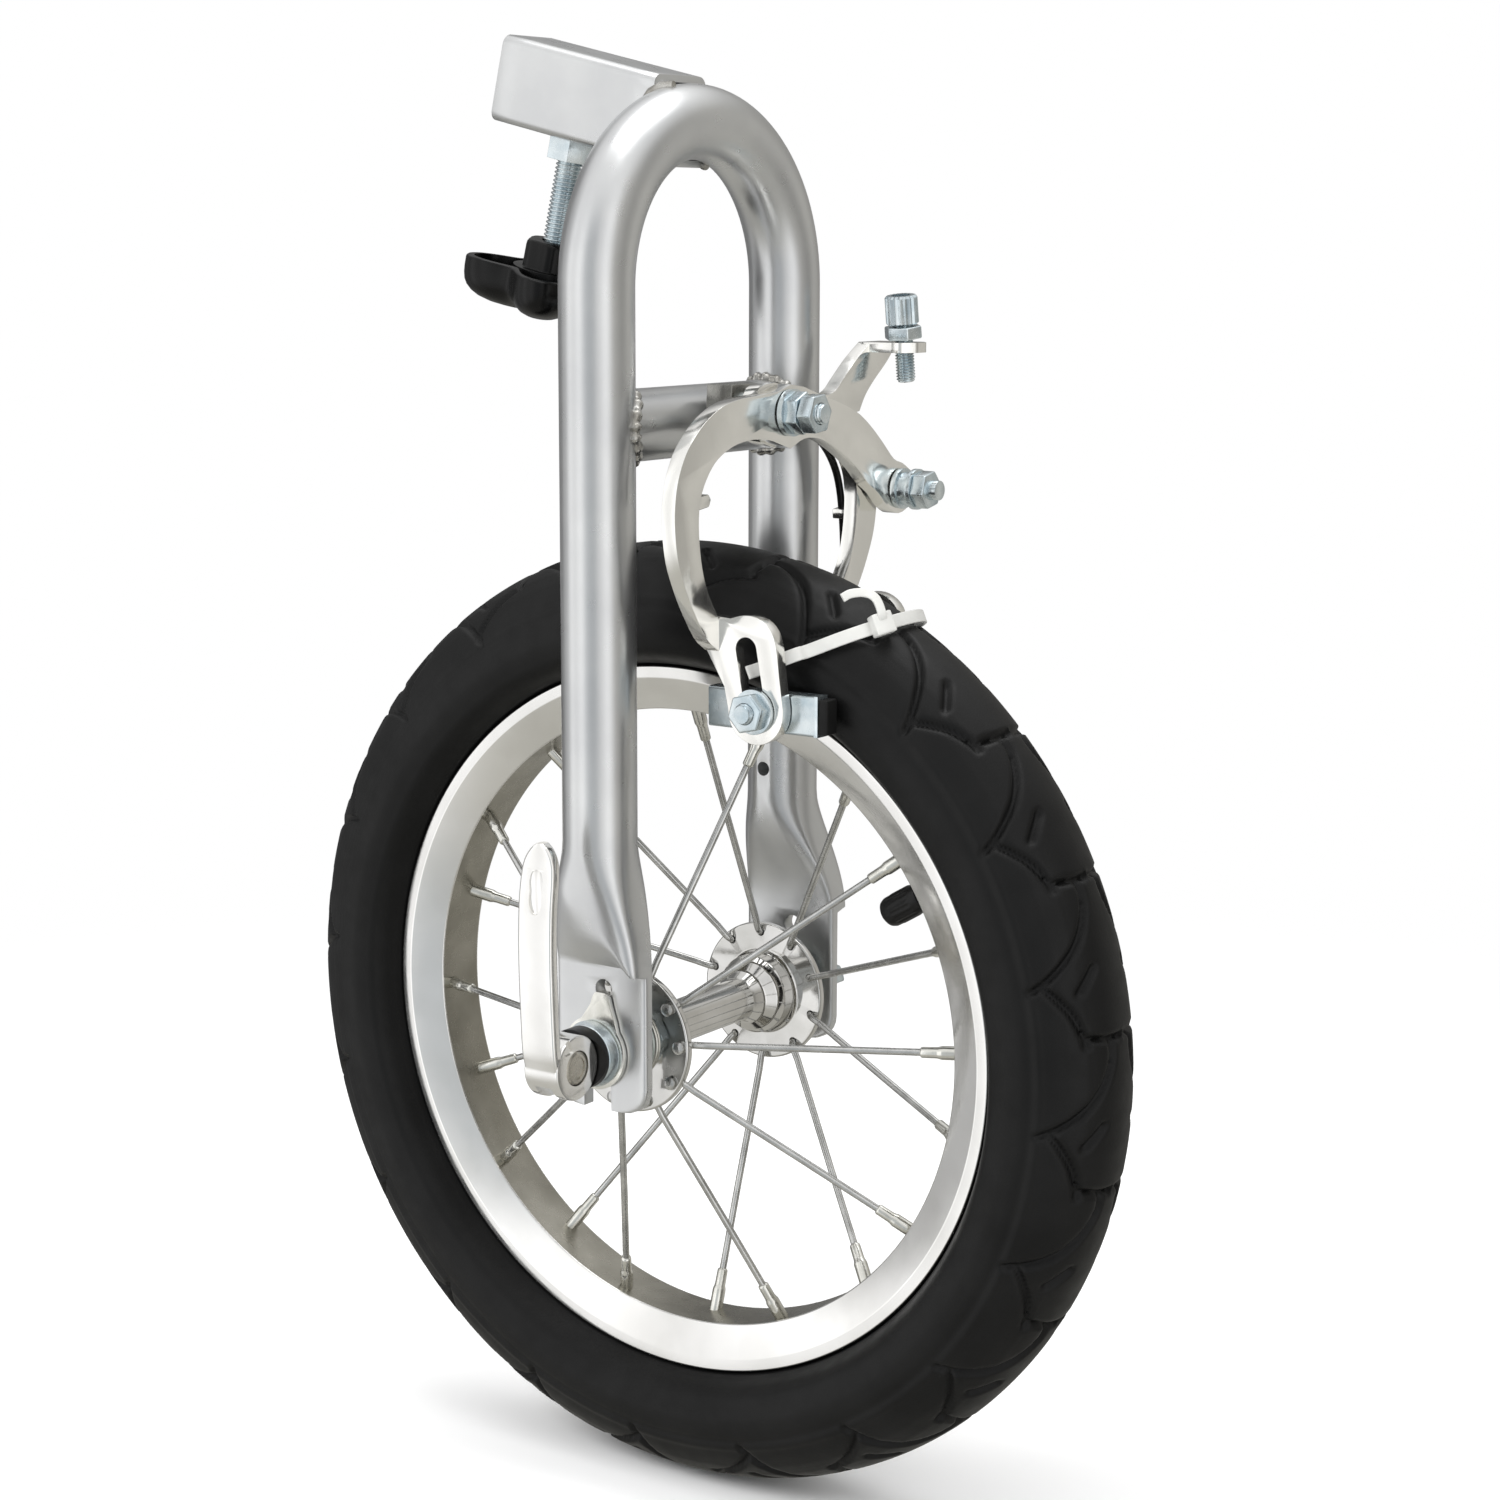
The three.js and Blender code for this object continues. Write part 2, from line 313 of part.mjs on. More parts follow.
add('qr_lever', cut(join(camHead, handle), rodX(-8, 8, PIN_Y, 0, 4.9 + GAP, 18), rodSlot), 'chrome');
const N0 = WASH_OUT + GAP;
add('qr_adjusting_nut', cut(join(ringTurn([[2.9, N0], [9.4, N0], [9.4, N0 + 3], [7, N0 + 6.5], [6.4, N0 + 14], [2.9, N0 + 14]], 18), plate([[-10.5, -2.6], [10.5, -2.6], [8.5, 2.6], [-8.5, 2.6]], [], N0 + 6, N0 + 12.5, (a, b, d) => [a, d, b])), rodY(40, 80, 0, 0, 2.9, 14)), 'zinc');

// ---- brake --------------------------------------------------------------------------------
// arms are stamped plates in the Y-Z plane; each ends in a slotted tab turned parallel to the rim
const cOuter = [[-5.5, 189.2], [-14, 188.6], [-23.4, 188], [-31, 186.8], [-37.6, 184.4], [-43.6, 180.8], [-49.4, 175.6], [-52.8, 170.6], [-55, 165], [-56, 158], [-55.6, 150.6], [-54.2, 144], [-51.6, 138], [-47.6, 131], [-41, 122], [-35.5, 118]];
const cInner = [[-31.4, 118], [-32.4, 122], [-36.6, 129.4], [-40.6, 135.6], [-43, 142], [-44.3, 149], [-44.6, 156], [-43.6, 161.6], [-41, 166.4], [-36.8, 170.8], [-31.6, 173.6], [-25.6, 175.4], [-18, 176.2], [-10, 175.6], [-4, 174]];
const leverLow = [[1, 172.6], [8, 175], [15, 174.8], [21.5, 172.8], [29.6, 169], [36.8, 164.6], [42.8, 159.8], [49, 156.2], [54.6, 151.6], [60.5, 149.4], [66.6, 151.4], [69.4, 156.6]];
const leverHigh = [[67.6, 162], [62.6, 164.6], [57.6, 166.2], [51.3, 171.4], [44, 177], [36, 181.6], [26, 185], [16, 187.6], [8, 190]];
const boreHole = circle(0, PIV_Z, PIV_R + 0.4, 12), anchorHole = circle(61, 157, 3.4, 12);
const yz = x0 => (a, b, d) => [x0 + d, a, b];
const outlineFront = [...cOuter, ...cInner, ...leverLow, ...leverHigh, [1, 191]];
const frontPlate = plate(outlineFront, [boreHole, anchorHole], -ARM_T, 0, yz(FRONT_X));
// slotted tab: outline in X-Z, at y = -TAB_Y .. -(TAB_Y - TAB_T)
function slotOutline(x0, z0, x1, z1, r, n = 6) {
  const d = Math.atan2(z1 - z0, x1 - x0), out = [];
  for (let k = 0; k <= n; k++) { const a = d - Math.PI / 2 + Math.PI * k / n; out.push([x1 + r * Math.cos(a), z1 + r * Math.sin(a)]); }
  for (let k = 0; k <= n; k++) { const a = d + Math.PI / 2 + Math.PI * k / n; out.push([x0 + r * Math.cos(a), z0 + r * Math.sin(a)]); }
  return out;
}
function tab(x0) {
  const o = [[x0, 128], [x0, 118.4], [33.4, 108], [34.8, 101.5]];
  for (let k = 1; k <= 9; k++) { const a = rad(180 + 180 * k / 9); o.push([BOLT_X + 9.3 * Math.cos(a), 101.6 + 9.3 * Math.sin(a)]); }
  o.push([52, 112], [50.8, 121], [48.6, 125.6], [44.5, 128.2], [40, 128.6], [35.5, 127.4]);
  return plate(o, [slotOutline(BOLT_X, 101.8, 40.8, 119, 3.5)], -TAB_Y, -TAB_Y + TAB_T, (a, b, d) => [a, d, b]);
}
add('brake_arm_front', join(frontPlate, tab(FRONT_X - ARM_T)), 'chrome');
// rear arm: C on the far side, lever rising to the adjuster lug
const my = l => l.map(([a, b]) => [-a, b]);
const upHigh = [[10, 189.4], [20, 187.8], [27, 186.6], [32, 187.6], [36.5, 191], [42.5, 195.6], [48.4, 199.4], [52, 201.4]];
const upLow = [[64, 201.4], [64, 198.4], [60, 194.6], [54, 190.2], [49, 185.8], [45.6, 181], [47, 178]];
const rearOuter = my(cOuter).slice(5);          // from [43.6,180.8] down to the tab
const rearC = [...rearOuter, ...my(cInner)];     // down the outside, back up the inside
const rearPoly = [...rearC, [0, 172.6], [-8.5, 175.6], [-11, 183], [-8, 190], [0, 191.4], ...upHigh, ...upLow.slice(0, -1)];
const rearPlate = plate(rearPoly, [circle(0, PIV_Z, PIV_R + 0.4, 12)], -ARM_T, 0, yz(REAR_X));
const lug = plate([[REAR_X - ARM_T, 51], [REAR_X + 8, 50.6], [ADJ[0] + 3, ADJ[1] - 6.8], [ADJ[0] + 6.4, ADJ[1] - 2.6], [ADJ[0] + 6.4, ADJ[1] + 2.6], [ADJ[0] + 3, ADJ[1] + 6.8], [REAR_X + 2, 64.4], [REAR_X - ARM_T, 64]], [circle(ADJ[0], ADJ[1], 3.4, 12)], ADJ[2] - 2.6, ADJ[2] + 0.4, (a, b, d) => [a, b, d]);
const rearBody = join(rearPlate, mirrorY(tab(REAR_X - ARM_T)), lug);
add('brake_arm_rear', rearBody, 'chrome');
// shoes: channel holder with rubber block, bolt and acorn nut through the slot
for (const [nm, s, armX] of [['near', -1, FRONT_X], ['far', 1, REAR_X]]) {
  const y0 = TAB_Y - TAB_T - GAP, z0 = SHOE_Z - SHOE_H / 2, z1 = SHOE_Z + SHOE_H / 2, sx = s < 0 ? 1 : 1;
  const yy = (a, b) => s < 0 ? [-a, -b] : [b, a];
  const [a0, a1] = yy(y0, y0 - SHOE_D), [b0, b1] = yy(y0 - 1.2, y0 - SHOE_D - 1);
  const hold = cut(box(SHOE_X0, SHOE_X1, a0, a1, z0, z1), box(SHOE_X0 - 1, SHOE_X1 - 1.2, b0, b1, z0 + 1.2, z1 - 1.2));
  const stud = rodY(Math.min(s * (y0 - 0.6), s * (TAB_Y + 7)), Math.max(s * (y0 - 0.6), s * (TAB_Y + 7)), BOLT_X, 101.8, 3, 12);
  add('shoe_holder_' + nm, join(hold, stud), 'zinc');
  const [p0, p1] = yy(y0 - 1.2 - GAP, y0 - SHOE_D - 0.3);
  add('brake_pad_' + nm, box(SHOE_X0 + 0.5, SHOE_X1 - 1.2 - GAP, p0, p1, z0 + 1.2 + GAP, z1 - 1.2 - GAP), 'rubber');
  // washer, hexagon and dome in one nut
  const t = TAB_Y + GAP, sg = (a, b) => [Math.min(s * a, s * b), Math.max(s * a, s * b)];
  const wsh = rodY(...sg(t, t + 1.3), BOLT_X, 101.8, 6.2, 18), hex = rodY(...sg(t + 1.2, t + 5), BOLT_X, 101.8, 5.8, 6);
  const dome = solidTurn([[0, s * (t + 4.9)], [4.3, s * (t + 4.9)], [4.3, s * (t + 6.6)], [3.4, s * (t + 8.6)], [1.6, s * (t + 9.7)], [0, s * (t + 9.9)]], 14); dome.translate(BOLT_X, 0, 101.8);
  add('shoe_nut_' + nm, cut(join(wsh, hex, dome), rodY(...sg(t - 1, TAB_Y + 7 + GAP), BOLT_X, 101.8, 3.3, 12)), 'zinc');
}
// pivot bolt with the nut behind the cross tube, seat block, spring, lock nut and acorn nut
const boltRear = rodX(LEG_X - CROSS_R - GAP - 5, LEG_X - CROSS_R - GAP, 0, PIV_Z, 5.8, 6);
add('brake_pivot_bolt', join(rodX(LEG_X - CROSS_R - GAP - 1, FRONT_X + 13, 0, PIV_Z, PIV_R, 12), boltRear), 'zinc');
add('brake_seat_block', plate([[-9, 174.6], [9, 174.6], [10, 180], [9, 190.8], [-9, 190.8], [-10, 180]], [circle(0, PIV_Z, PIV_R + 0.4, 12)], 9.1, 17.9, (a, b, d) => [d, a, b]), 'steel');
const springNear = [[-37.6, 157.6], [-35.6, 165], [-30, 171], [-22, 175], [-12, 177], [0, 177.2]], springFar = [[12, 177.2], [24, 176], [34, 172.5], [41, 166], [45, 158], [47.2, 146], [48, 132]];
const springPts = [...springNear, ...springFar].map(([y, z]) => V(20, y, z));
add('brake_spring', wire(springPts, 1.15, 8), 'black');
const F = FRONT_X + GAP;
add('brake_lock_nut', join(tubeX(F, F + 1.4, 0, PIV_Z, 6.6, PIV_R + GAP, 20, 12), tubeX(F + 1.3, F + 5.6, 0, PIV_Z, 6.1, PIV_R + GAP, 6, 12)), 'zinc');
const acorn = solidTurn([[0, F + 10.2], [4.6, F + 10.2], [4.6, F + 12], [3.7, F + 14.4], [1.8, F + 15.8], [0, F + 16.1]], 16);
const toX = g => { const h = g.clone(); h.rotateZ(-Math.PI / 2); return h; };
const acornX = toX(acorn); acornX.translate(0, 0, PIV_Z);
add('brake_acorn_nut', cut(join(rodX(F + 5.9, F + 10.4, 0, PIV_Z, 5.9, 6), acornX), rodX(F + 5, F + 13, 0, PIV_Z, PIV_R + GAP, 12)), 'zinc');
// cable anchor: bolt, washers and acorn nut on the lower lever
const A0 = FRONT_X + GAP, ay = 61, az = 157;
const anchorParts = [rodX(FRONT_X - ARM_T - 3.2, FRONT_X - ARM_T - GAP, ay, az, 4.1, 14), rodX(FRONT_X - ARM_T - 1, A0 + 14, ay, az, 3, 12), rodX(A0, A0 + 1.6, ay, az, 6.2, 18), rodX(A0 + 1.6, A0 + 5, ay, az, 5, 14), rodX(A0 + 5, A0 + 6.6, ay, az, 6.2, 18), rodX(A0 + 6.6, A0 + 11, ay, az, 5.8, 6)];
const dome2 = toX(solidTurn([[0, A0 + 10.9], [4.5, A0 + 10.9], [4.5, A0 + 14], [3.4, A0 + 17], [1.6, A0 + 18.6], [0, A0 + 19]], 14)); dome2.translate(0, ay, az);
add('anchor_bolt', join(anchorParts[0], ...anchorParts.slice(1), dome2), 'zinc');
// barrel adjuster and its locknut on the rear arm's lug
const at = rad(ADJ_TILT), ad = V(0, -Math.sin(at), Math.cos(at)), AP = V(...ADJ);
const along = (u, v, d) => { const q = AP.clone().addScaledVector(ad, d); q.x += u; q.y += v * Math.cos(at); q.z += v * Math.sin(at); return [q.x, q.y, q.z]; };
const adjRing = (d0, d1, r, ri, n, ni = 12) => plate(circle(0, 0, r, n), ri ? [circle(0, 0, ri, ni)] : [], d0, d1, along);
const knurl = []; for (let k = 0; k < 24; k++) { const a = 2 * Math.PI * k / 24, r = k % 2 ? 4.6 : 5; knurl.push([r * Math.cos(a), r * Math.sin(a)]); }
add('barrel_adjuster', cut(join(adjRing(-11.5, 6, 2.9, 0, 12), plate(knurl, [], 5.8, 14.6, along)), adjRing(-12, 16, 1.1, 0, 8)), 'zinc');
add('adjuster_locknut', adjRing(1.5, 5.3, 5.7, 3.2, 6), 'zinc');
// cable tie: flat strap from tab to tab round the front of the tread, with its ratchet head
const strapPath = []; const cen = V(42, 0, 113), su = V(Math.cos(rad(24)), 0, Math.sin(rad(24)));
const tieAt = (u, y) => cen.clone().addScaledVector(su, u).add(V(0, y, 0));
function treadU(y, off) { // distance along su at which the strap clears the tread at this y
  const yy = Math.min(Math.abs(y), 22.69); const R = 121.4 + Math.sqrt(22.7 ** 2 - yy ** 2) + off; // radius about the axle
  const b = cen.x * su.x + cen.z * su.z, c = cen.x ** 2 + cen.z ** 2 - R * R; return -b + Math.sqrt(b * b - c);
}
const STRAP_W = 3.6, STRAP_T = 1.2;
const half = [[-1.5, -30], [-1.4, -36.2], [2, -37.2], [9.8, -36.6], [12.4, -34]];
const ys = [-24, -20.5, -17, -12, -6, 0];
const pathL = [...half.map(([u, y]) => tieAt(u, y)), ...ys.slice(0, 1).map(y => tieAt(treadU(-20, 2.9) * 0.955, y)), ...ys.slice(1).map(y => tieAt(treadU(y, 2.7), y))];
const path = [...pathL, ...pathL.slice(0, -1).reverse().map(q => V(q.x, -q.y, q.z))];
const sn = V(-su.z, 0, su.x); // width direction of the strap
const strapRings = path.map((p, i) => {
  const a = path[Math.max(0, i - 1)], b = path[Math.min(path.length - 1, i + 1)], t = b.clone().sub(a).normalize(), w = sn, nn = t.clone().cross(w).normalize();
  return [[-1, -1], [1, -1], [1, 1], [-1, 1]].map(([q, r]) => p.clone().addScaledVector(w, q * STRAP_W / 2).addScaledVector(nn, r * STRAP_T / 2));
});
const headC = tieAt(treadU(-12, 2.7) + 1.2, -12.6);
const headDir = tieAt(treadU(-9, 2.0), -9).sub(tieAt(treadU(-16, 2.0), -16)).normalize(), headN = headDir.clone().cross(sn).normalize();
const headRing = k => [[-1, -1], [1, -1], [1, 1], [-1, 1]].map(([q, r]) => headC.clone().addScaledVector(headDir, k).addScaledVector(sn, q * 3.1).addScaledVector(headN, r * 2.3 + (headN.x < 0 ? -0.9 : 0.9)));
add('cable_tie', join(loft(strapRings), loft([headRing(-3), headRing(3)])), 'nylon');

export default root;
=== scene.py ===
# Looks for a single-wheel U-fork unit: 12 1/2 inch wheel, side-pull brake, quick release and a
# clamp-on square boom. All coordinates below are millimetres about the axle centre; W() takes
# them to the row frame in metres.
import math
import bpy
import bmesh
import numpy as np
from mathutils import Matrix, Vector


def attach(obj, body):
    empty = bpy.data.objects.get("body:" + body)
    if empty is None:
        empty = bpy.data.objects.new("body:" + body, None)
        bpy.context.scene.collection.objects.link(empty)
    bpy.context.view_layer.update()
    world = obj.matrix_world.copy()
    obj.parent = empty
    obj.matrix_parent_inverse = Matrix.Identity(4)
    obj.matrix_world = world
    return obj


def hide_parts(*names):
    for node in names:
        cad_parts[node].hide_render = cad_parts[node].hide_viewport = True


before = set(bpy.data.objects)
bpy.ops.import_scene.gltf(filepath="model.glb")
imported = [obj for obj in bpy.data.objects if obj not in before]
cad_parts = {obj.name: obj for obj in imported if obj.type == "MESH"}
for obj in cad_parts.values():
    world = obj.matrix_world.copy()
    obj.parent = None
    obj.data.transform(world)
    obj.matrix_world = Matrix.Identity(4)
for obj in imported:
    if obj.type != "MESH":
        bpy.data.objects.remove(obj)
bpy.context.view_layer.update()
OFF = np.array([64.5, 0.0, -279.0])
PI = math.pi
rad = math.radians


def W(p):
    return (np.asarray(p, float) + OFF) * 0.001


# ---- camera ---------------------------------------------------------------------------------
cam_data = bpy.data.cameras.new("camera")
cam = bpy.data.objects.new("camera", cam_data)
bpy.context.scene.collection.objects.link(cam)
bpy.context.scene.camera = cam
cam_data.lens = 70.15
cam_data.sensor_width = 36
cam_data.clip_start, cam_data.clip_end = 0.01, 50
cam.location = W((499.7, -701.6, 234.2))
aim = Vector(W((18.26, 0, 83.2)))
cam.rotation_mode = "QUATERNION"
cam.rotation_quaternion = (aim - cam.location).to_track_quat("-Z", "Y") @ Matrix.Rotation(rad(CAM_ROLL := 0.14), 4, "Z").to_quaternion()

# ---- dimensions -----------------------------------------------------------------------------
LEG_X, LEG_Y, TUBE_R, BEND_Z = -1.7, 47.0, 10.8, 218.3
CROSS_Z, CROSS_R = 179.6, 10.4
PIV_Z = 183.0
FRONT_X, REAR_X, ARM_T = 31.6, 26.6, 4.5
TAB_Y, TAB_T, BOLT_X = 35.0, 4.0, 44.0
PIN_Y = -68.3
WASH0, WASH_OUT = 51.5, 52.9
CUP0, CUP1 = 53.2, 57.0

# ---- node materials -------------------------------------------------------------------------


def lin(h):
    c = [int(h[i:i + 2], 16) / 255 for i in (1, 3, 5)]
    return tuple(((x + 0.055) / 1.055) ** 2.4 if x > 0.04045 else x / 12.92 for x in c) + (1,)


def material(name, dark, light, rough=(0.3, 0.4), metal=0.0, scale=60, bump=0.0, bump_scale=900,
             stretch=(1, 1, 1), coat=0.0, coat_rough=0.1, spec=0.5, speck=None, detail=5, sheen=0.0):
    m = bpy.data.materials.new(name)
    m.use_nodes = True
    nt = m.node_tree
    nt.nodes.clear()
    N, L = nt.nodes.new, nt.links.new
    out = N("ShaderNodeOutputMaterial")
    p = N("ShaderNodeBsdfPrincipled")
    L(p.outputs[0], out.inputs[0])
    tc = N("ShaderNodeTexCoord")
    mp = N("ShaderNodeMapping")
    mp.inputs["Scale"].default_value = stretch
    L(tc.outputs["Object"], mp.inputs[0])
    n1 = N("ShaderNodeTexNoise")
    n1.inputs["Scale"].default_value = scale
    n1.inputs["Detail"].default_value = detail
    L(mp.outputs[0], n1.inputs["Vector"])
    ramp = N("ShaderNodeValToRGB")
    ramp.color_ramp.elements[0].position, ramp.color_ramp.elements[1].position = 0.32, 0.68
    ramp.color_ramp.elements[0].color, ramp.color_ramp.elements[1].color = lin(dark), lin(light)
    L(n1.outputs[0], ramp.inputs[0])
    L(ramp.outputs[0], p.inputs["Base Color"])
    n2 = N("ShaderNodeTexNoise")
    n2.inputs["Scale"].default_value = scale * 3.1
    n2.inputs["Detail"].default_value = 3
    L(mp.outputs[0], n2.inputs["Vector"])
    mr = N("ShaderNodeMapRange")
    mr.inputs["From Min"].default_value, mr.inputs["From Max"].default_value = 0.3, 0.7
    mr.inputs["To Min"].default_value, mr.inputs["To Max"].default_value = rough
    L(n2.outputs[0], mr.inputs[0])
    L(mr.outputs[0], p.inputs["Roughness"])
    p.inputs["Metallic"].default_value = metal
    p.inputs["Specular IOR Level"].default_value = spec
    p.inputs["Coat Weight"].default_value = coat
    p.inputs["Coat Roughness"].default_value = coat_rough
    if bump:
        n3 = N("ShaderNodeTexNoise")
        n3.inputs["Scale"].default_value = bump_scale
        n3.inputs["Detail"].default_value = 4
        L(mp.outputs[0], n3.inputs["Vector"])
        b = N("ShaderNodeBump")
        b.inputs["Strength"].default_value = bump
        b.inputs["Distance"].default_value = 0.0002
        L(n3.outputs[0], b.inputs["Height"])
        L(b.outputs[0], p.inputs["Normal"])
    return m


M = {
    # satin silver lacquer over steel tube, with a fine metallic flake
    "silver": material("silver_lacquer", "#c9cacb", "#d3d4d4", (0.27, 0.31), 0.93, 45, 0.03, 2600, coat=0.12, coat_rough=0.2),
    "weld": material("weld_bead", "#96938c", "#c9c8c4", (0.2, 0.38), 0.9, 220, 0.5, 500),
    "zinc": material("bright_zinc", "#b9c7ce", "#dfe6e8", (0.16, 0.3), 0.95, 130, 0.12, 900),
    "knob": material("black_moulded_plastic", "#040404", "#090909", (0.18, 0.3), 0, 70, 0.1, 1300, spec=0.22),
    "cap": material("valve_cap_plastic", "#070707", "#101010", (0.32, 0.45), 0, 120, 0.12, 1500, spec=0.3),
    "tyre": material("tyre_rubber", "#080808", "#0f0f0f", (0.42, 0.52), 0, 55, 0.2, 1700, spec=0.22),
    "tube": material("inner_tube_rubber", "#141414", "#202020", (0.6, 0.75), 0, 80, 0.2, 1200),
    "rim": material("polished_rim", "#e4e3e0", "#f1f0ee", (0.08, 0.2), 0.98, 40, 0.05, 300),
    # rim bed: a darker copy of the rim alloy, partly its duller unpolished finish and partly painted shade for the
    # shade that falls inside the hoop
    "rim_bed": material("rim_bed_duller_alloy_and_painted_shade", "#8e8b81", "#a5a298", (0.22, 0.34), 0.95, 60, 0.06, 500),
    "chrome": material("hub_chrome", "#c9c8c4", "#dedddb", (0.06, 0.13), 1.0, 60, 0.03, 600),
    "ball": material("bearing_steel", "#9c9c9a", "#bdbdbb", (0.12, 0.25), 1.0, 200, 0.05, 900),
    "spoke": material("spoke_steel", "#b4b4b2", "#d6d6d4", (0.18, 0.3), 0.96, 160, 0.08, 1600),
    "nipple": material("nipple_brass_plated", "#cfcec6", "#ebeae4", (0.14, 0.26), 0.96, 160, 0.08, 1600),
    "lever": material("lever_polished", "#ecebe8", "#f6f5f3", (0.1, 0.2), 0.95, 50, 0.05, 700),
    "arm": material("arm_polished_alloy", "#e9e8e4", "#f7f6f2", (0.09, 0.18), 0.98, 45, 0.05, 600),
    "pad": material("pad_rubber", "#0b0b0b", "#141414", (0.5, 0.65), 0, 90, 0.3, 1100, spec=0.25),
    "wire": material("spring_black_wire", "#101010", "#1e1e1e", (0.25, 0.4), 0.5, 120, 0.1, 1200),
    "nylon": material("nylon_natural", "#c9c9c6", "#dadad6", (0.3, 0.42), 0, 90, 0.15, 900),
    "brass": material("pin_plated", "#aeaaa0", "#c6c2b8", (0.18, 0.32), 0.9, 120, 0.08, 900),
    "seat": material("seat_block_steel", "#7f7e7a", "#a3a29d", (0.2, 0.35), 0.95, 120, 0.15, 800),
}

# ---- mesh helpers ---------------------------------------------------------------------------


class Geo:
    def __init__(self, v=(), f=()):
        self.v, self.f = [tuple(map(float, p)) for p in v], [tuple(q) for q in f]

    def add(self, other):
        n = len(self.v)
        self.v += other.v
        self.f += [tuple(i + n for i in q) for q in other.f]
        return self


def loft(rings, closed=False):
    n = len(rings[0])
    v = [p for r in rings for p in r]
    f = []
    m = len(rings) if closed else len(rings) - 1
    for i in range(m):
        k = (i + 1) % len(rings)
        for j in range(n):
            f.append((i * n + j, i * n + (j + 1) % n, k * n + (j + 1) % n, k * n + j))
    if not closed:
        f.append(tuple(range(n - 1, -1, -1)))
        f.append(tuple((len(rings) - 1) * n + j for j in range(n)))
    return Geo(v, f)


def turn(profile, segs, closed=False, arc=None):
    """profile of (radius, y) turned about Y; points on the axis become poles."""
    v, idx = [], []
    for r, y in profile:
        if r < 1e-6:
            v.append((0, y, 0))
            idx.append([len(v) - 1])
        else:
            idx.append(list(range(len(v), len(v) + segs)))
            for k in range(segs):
                t = 2 * PI * k / segs
                v.append((r * math.cos(t), y, r * math.sin(t)))
    f = []
    for i in range(len(profile) if closed else len(profile) - 1):
        a, b = idx[i], idx[(i + 1) % len(profile)]
        for k in range(segs):
            if len(a) > 1 and len(b) > 1:
                f.append((a[k], a[(k + 1) % segs], b[(k + 1) % segs], b[k]))
            elif len(a) > 1:
                f.append((a[k], a[(k + 1) % segs], b[0]))
            elif len(b) > 1:
                f.append((a[0], b[(k + 1) % segs], b[k]))
    return Geo(v, f)


def round2d(pts, r, closed=True, seg=4):
    """Rounds the corners of a 2-D line. r is one radius or one for each corner."""
    P = [np.array(p, float) for p in pts]
    n = len(P)
    out = []
    for i, p in enumerate(P):
        ri = r[i] if isinstance(r, (list, tuple)) else r
        if (not closed and i in (0, n - 1)) or ri <= 0:
            out.append(tuple(p))
            continue
        a, b = P[i - 1] - p, P[(i + 1) % n] - p
        la, lb = np.linalg.norm(a), np.linalg.norm(b)
        a, b = a / la, b / lb
        ang = math.acos(max(-1, min(1, float(a @ b))))
        if ang > PI - 0.12:
            out.append(tuple(p))
            continue
        d = min(ri / math.tan(ang / 2), la * 0.48, lb * 0.48)
        p0, p1 = p + a * d, p + b * d
        for k in range(seg + 1):
            t = k / seg
            out.append(tuple((1 - t) ** 2 * p0 + 2 * t * (1 - t) * p + t * t * p1))
    return out


def catmull(pts, k=4, closed=False):
    P = [np.array(p, float) for p in pts]
    n = len(P)
    out = []
    for i in range(n if closed else n - 1):
        p1, p2 = P[i], P[(i + 1) % n]
        p0 = P[i - 1] if (closed or i > 0) else 2 * p1 - p2
        p3 = P[(i + 2) % n] if (closed or i < n - 2) else 2 * p2 - p1
        for j in range(k):
            t = j / k
            out.append(0.5 * ((2 * p1) + (p2 - p0) * t + (2 * p0 - 5 * p1 + 4 * p2 - p3) * t * t + (3 * p1 - p0 - 3 * p2 + p3) * t ** 3))
    if not closed:
        out.append(P[-1])
    return out


def wire(pts, radii, n=16, closed=False):
    P = [np.array(p, float) for p in pts]
    rings, nrm = [], None
    for i, p in enumerate(P):
        if closed:
            t = P[(i + 1) % len(P)] - P[i - 1]
        else:
            t = P[min(i + 1, len(P) - 1)] - P[max(i - 1, 0)]
        t = t / np.linalg.norm(t)
        if nrm is None:
            nrm = np.array((0.0, 1, 0)) if abs(t[1]) < 0.9 else np.array((1.0, 0, 0))
        nrm = nrm - t * (nrm @ t)
        nrm = nrm / np.linalg.norm(nrm)
        bi = np.cross(t, nrm)
        r = radii[i] if isinstance(radii, (list, tuple, np.ndarray)) else radii
        rings.append([tuple(p + nrm * r * math.cos(2 * PI * k / n) + bi * r * math.sin(2 * PI * k / n)) for k in range(n)])
    return loft(rings, closed)


def prism(outline, d0, d1, mp, steps=1):
    rings = []
    for i in range(steps + 1):
        d = d0 + (d1 - d0) * i / steps
        rings.append([mp(a, b, d) for a, b in outline])
    return loft(rings)


def circle(cx, cy, r, n=48, a0=0.0):
    return [(cx + r * math.cos(a0 + 2 * PI * k / n), cy + r * math.sin(a0 + 2 * PI * k / n)) for k in range(n)]


MX = lambda y, z: (lambda a, b, d: (d, y + a, z + b))
MY = lambda x, z: (lambda a, b, d: (x + b, d, z + a))


def rodX(x0, x1, y, z, r, n=40, a0=0.0):
    return prism(circle(0, 0, r, n, a0), x0, x1, MX(y, z))


def rodY(y0, y1, x, z, r, n=40, a0=0.0):
    return prism(circle(0, 0, r, n, a0), y0, y1, MY(x, z))


def place(g, fn):
    g.v = [tuple(fn(np.array(p, float))) for p in g.v]
    return g


def make(g):
    me = bpy.data.meshes.new("m")
    me.from_pydata([tuple(p) for p in W(g.v)], [], g.f)
    bm = bmesh.new()
    bm.from_mesh(me)
    bmesh.ops.remove_doubles(bm, verts=bm.verts, dist=1e-7)
    bmesh.ops.recalc_face_normals(bm, faces=bm.faces)
    bm.to_mesh(me)
    bm.free()
    o = bpy.data.objects.new("tmp", me)
    bpy.context.scene.collection.objects.link(o)
    return o


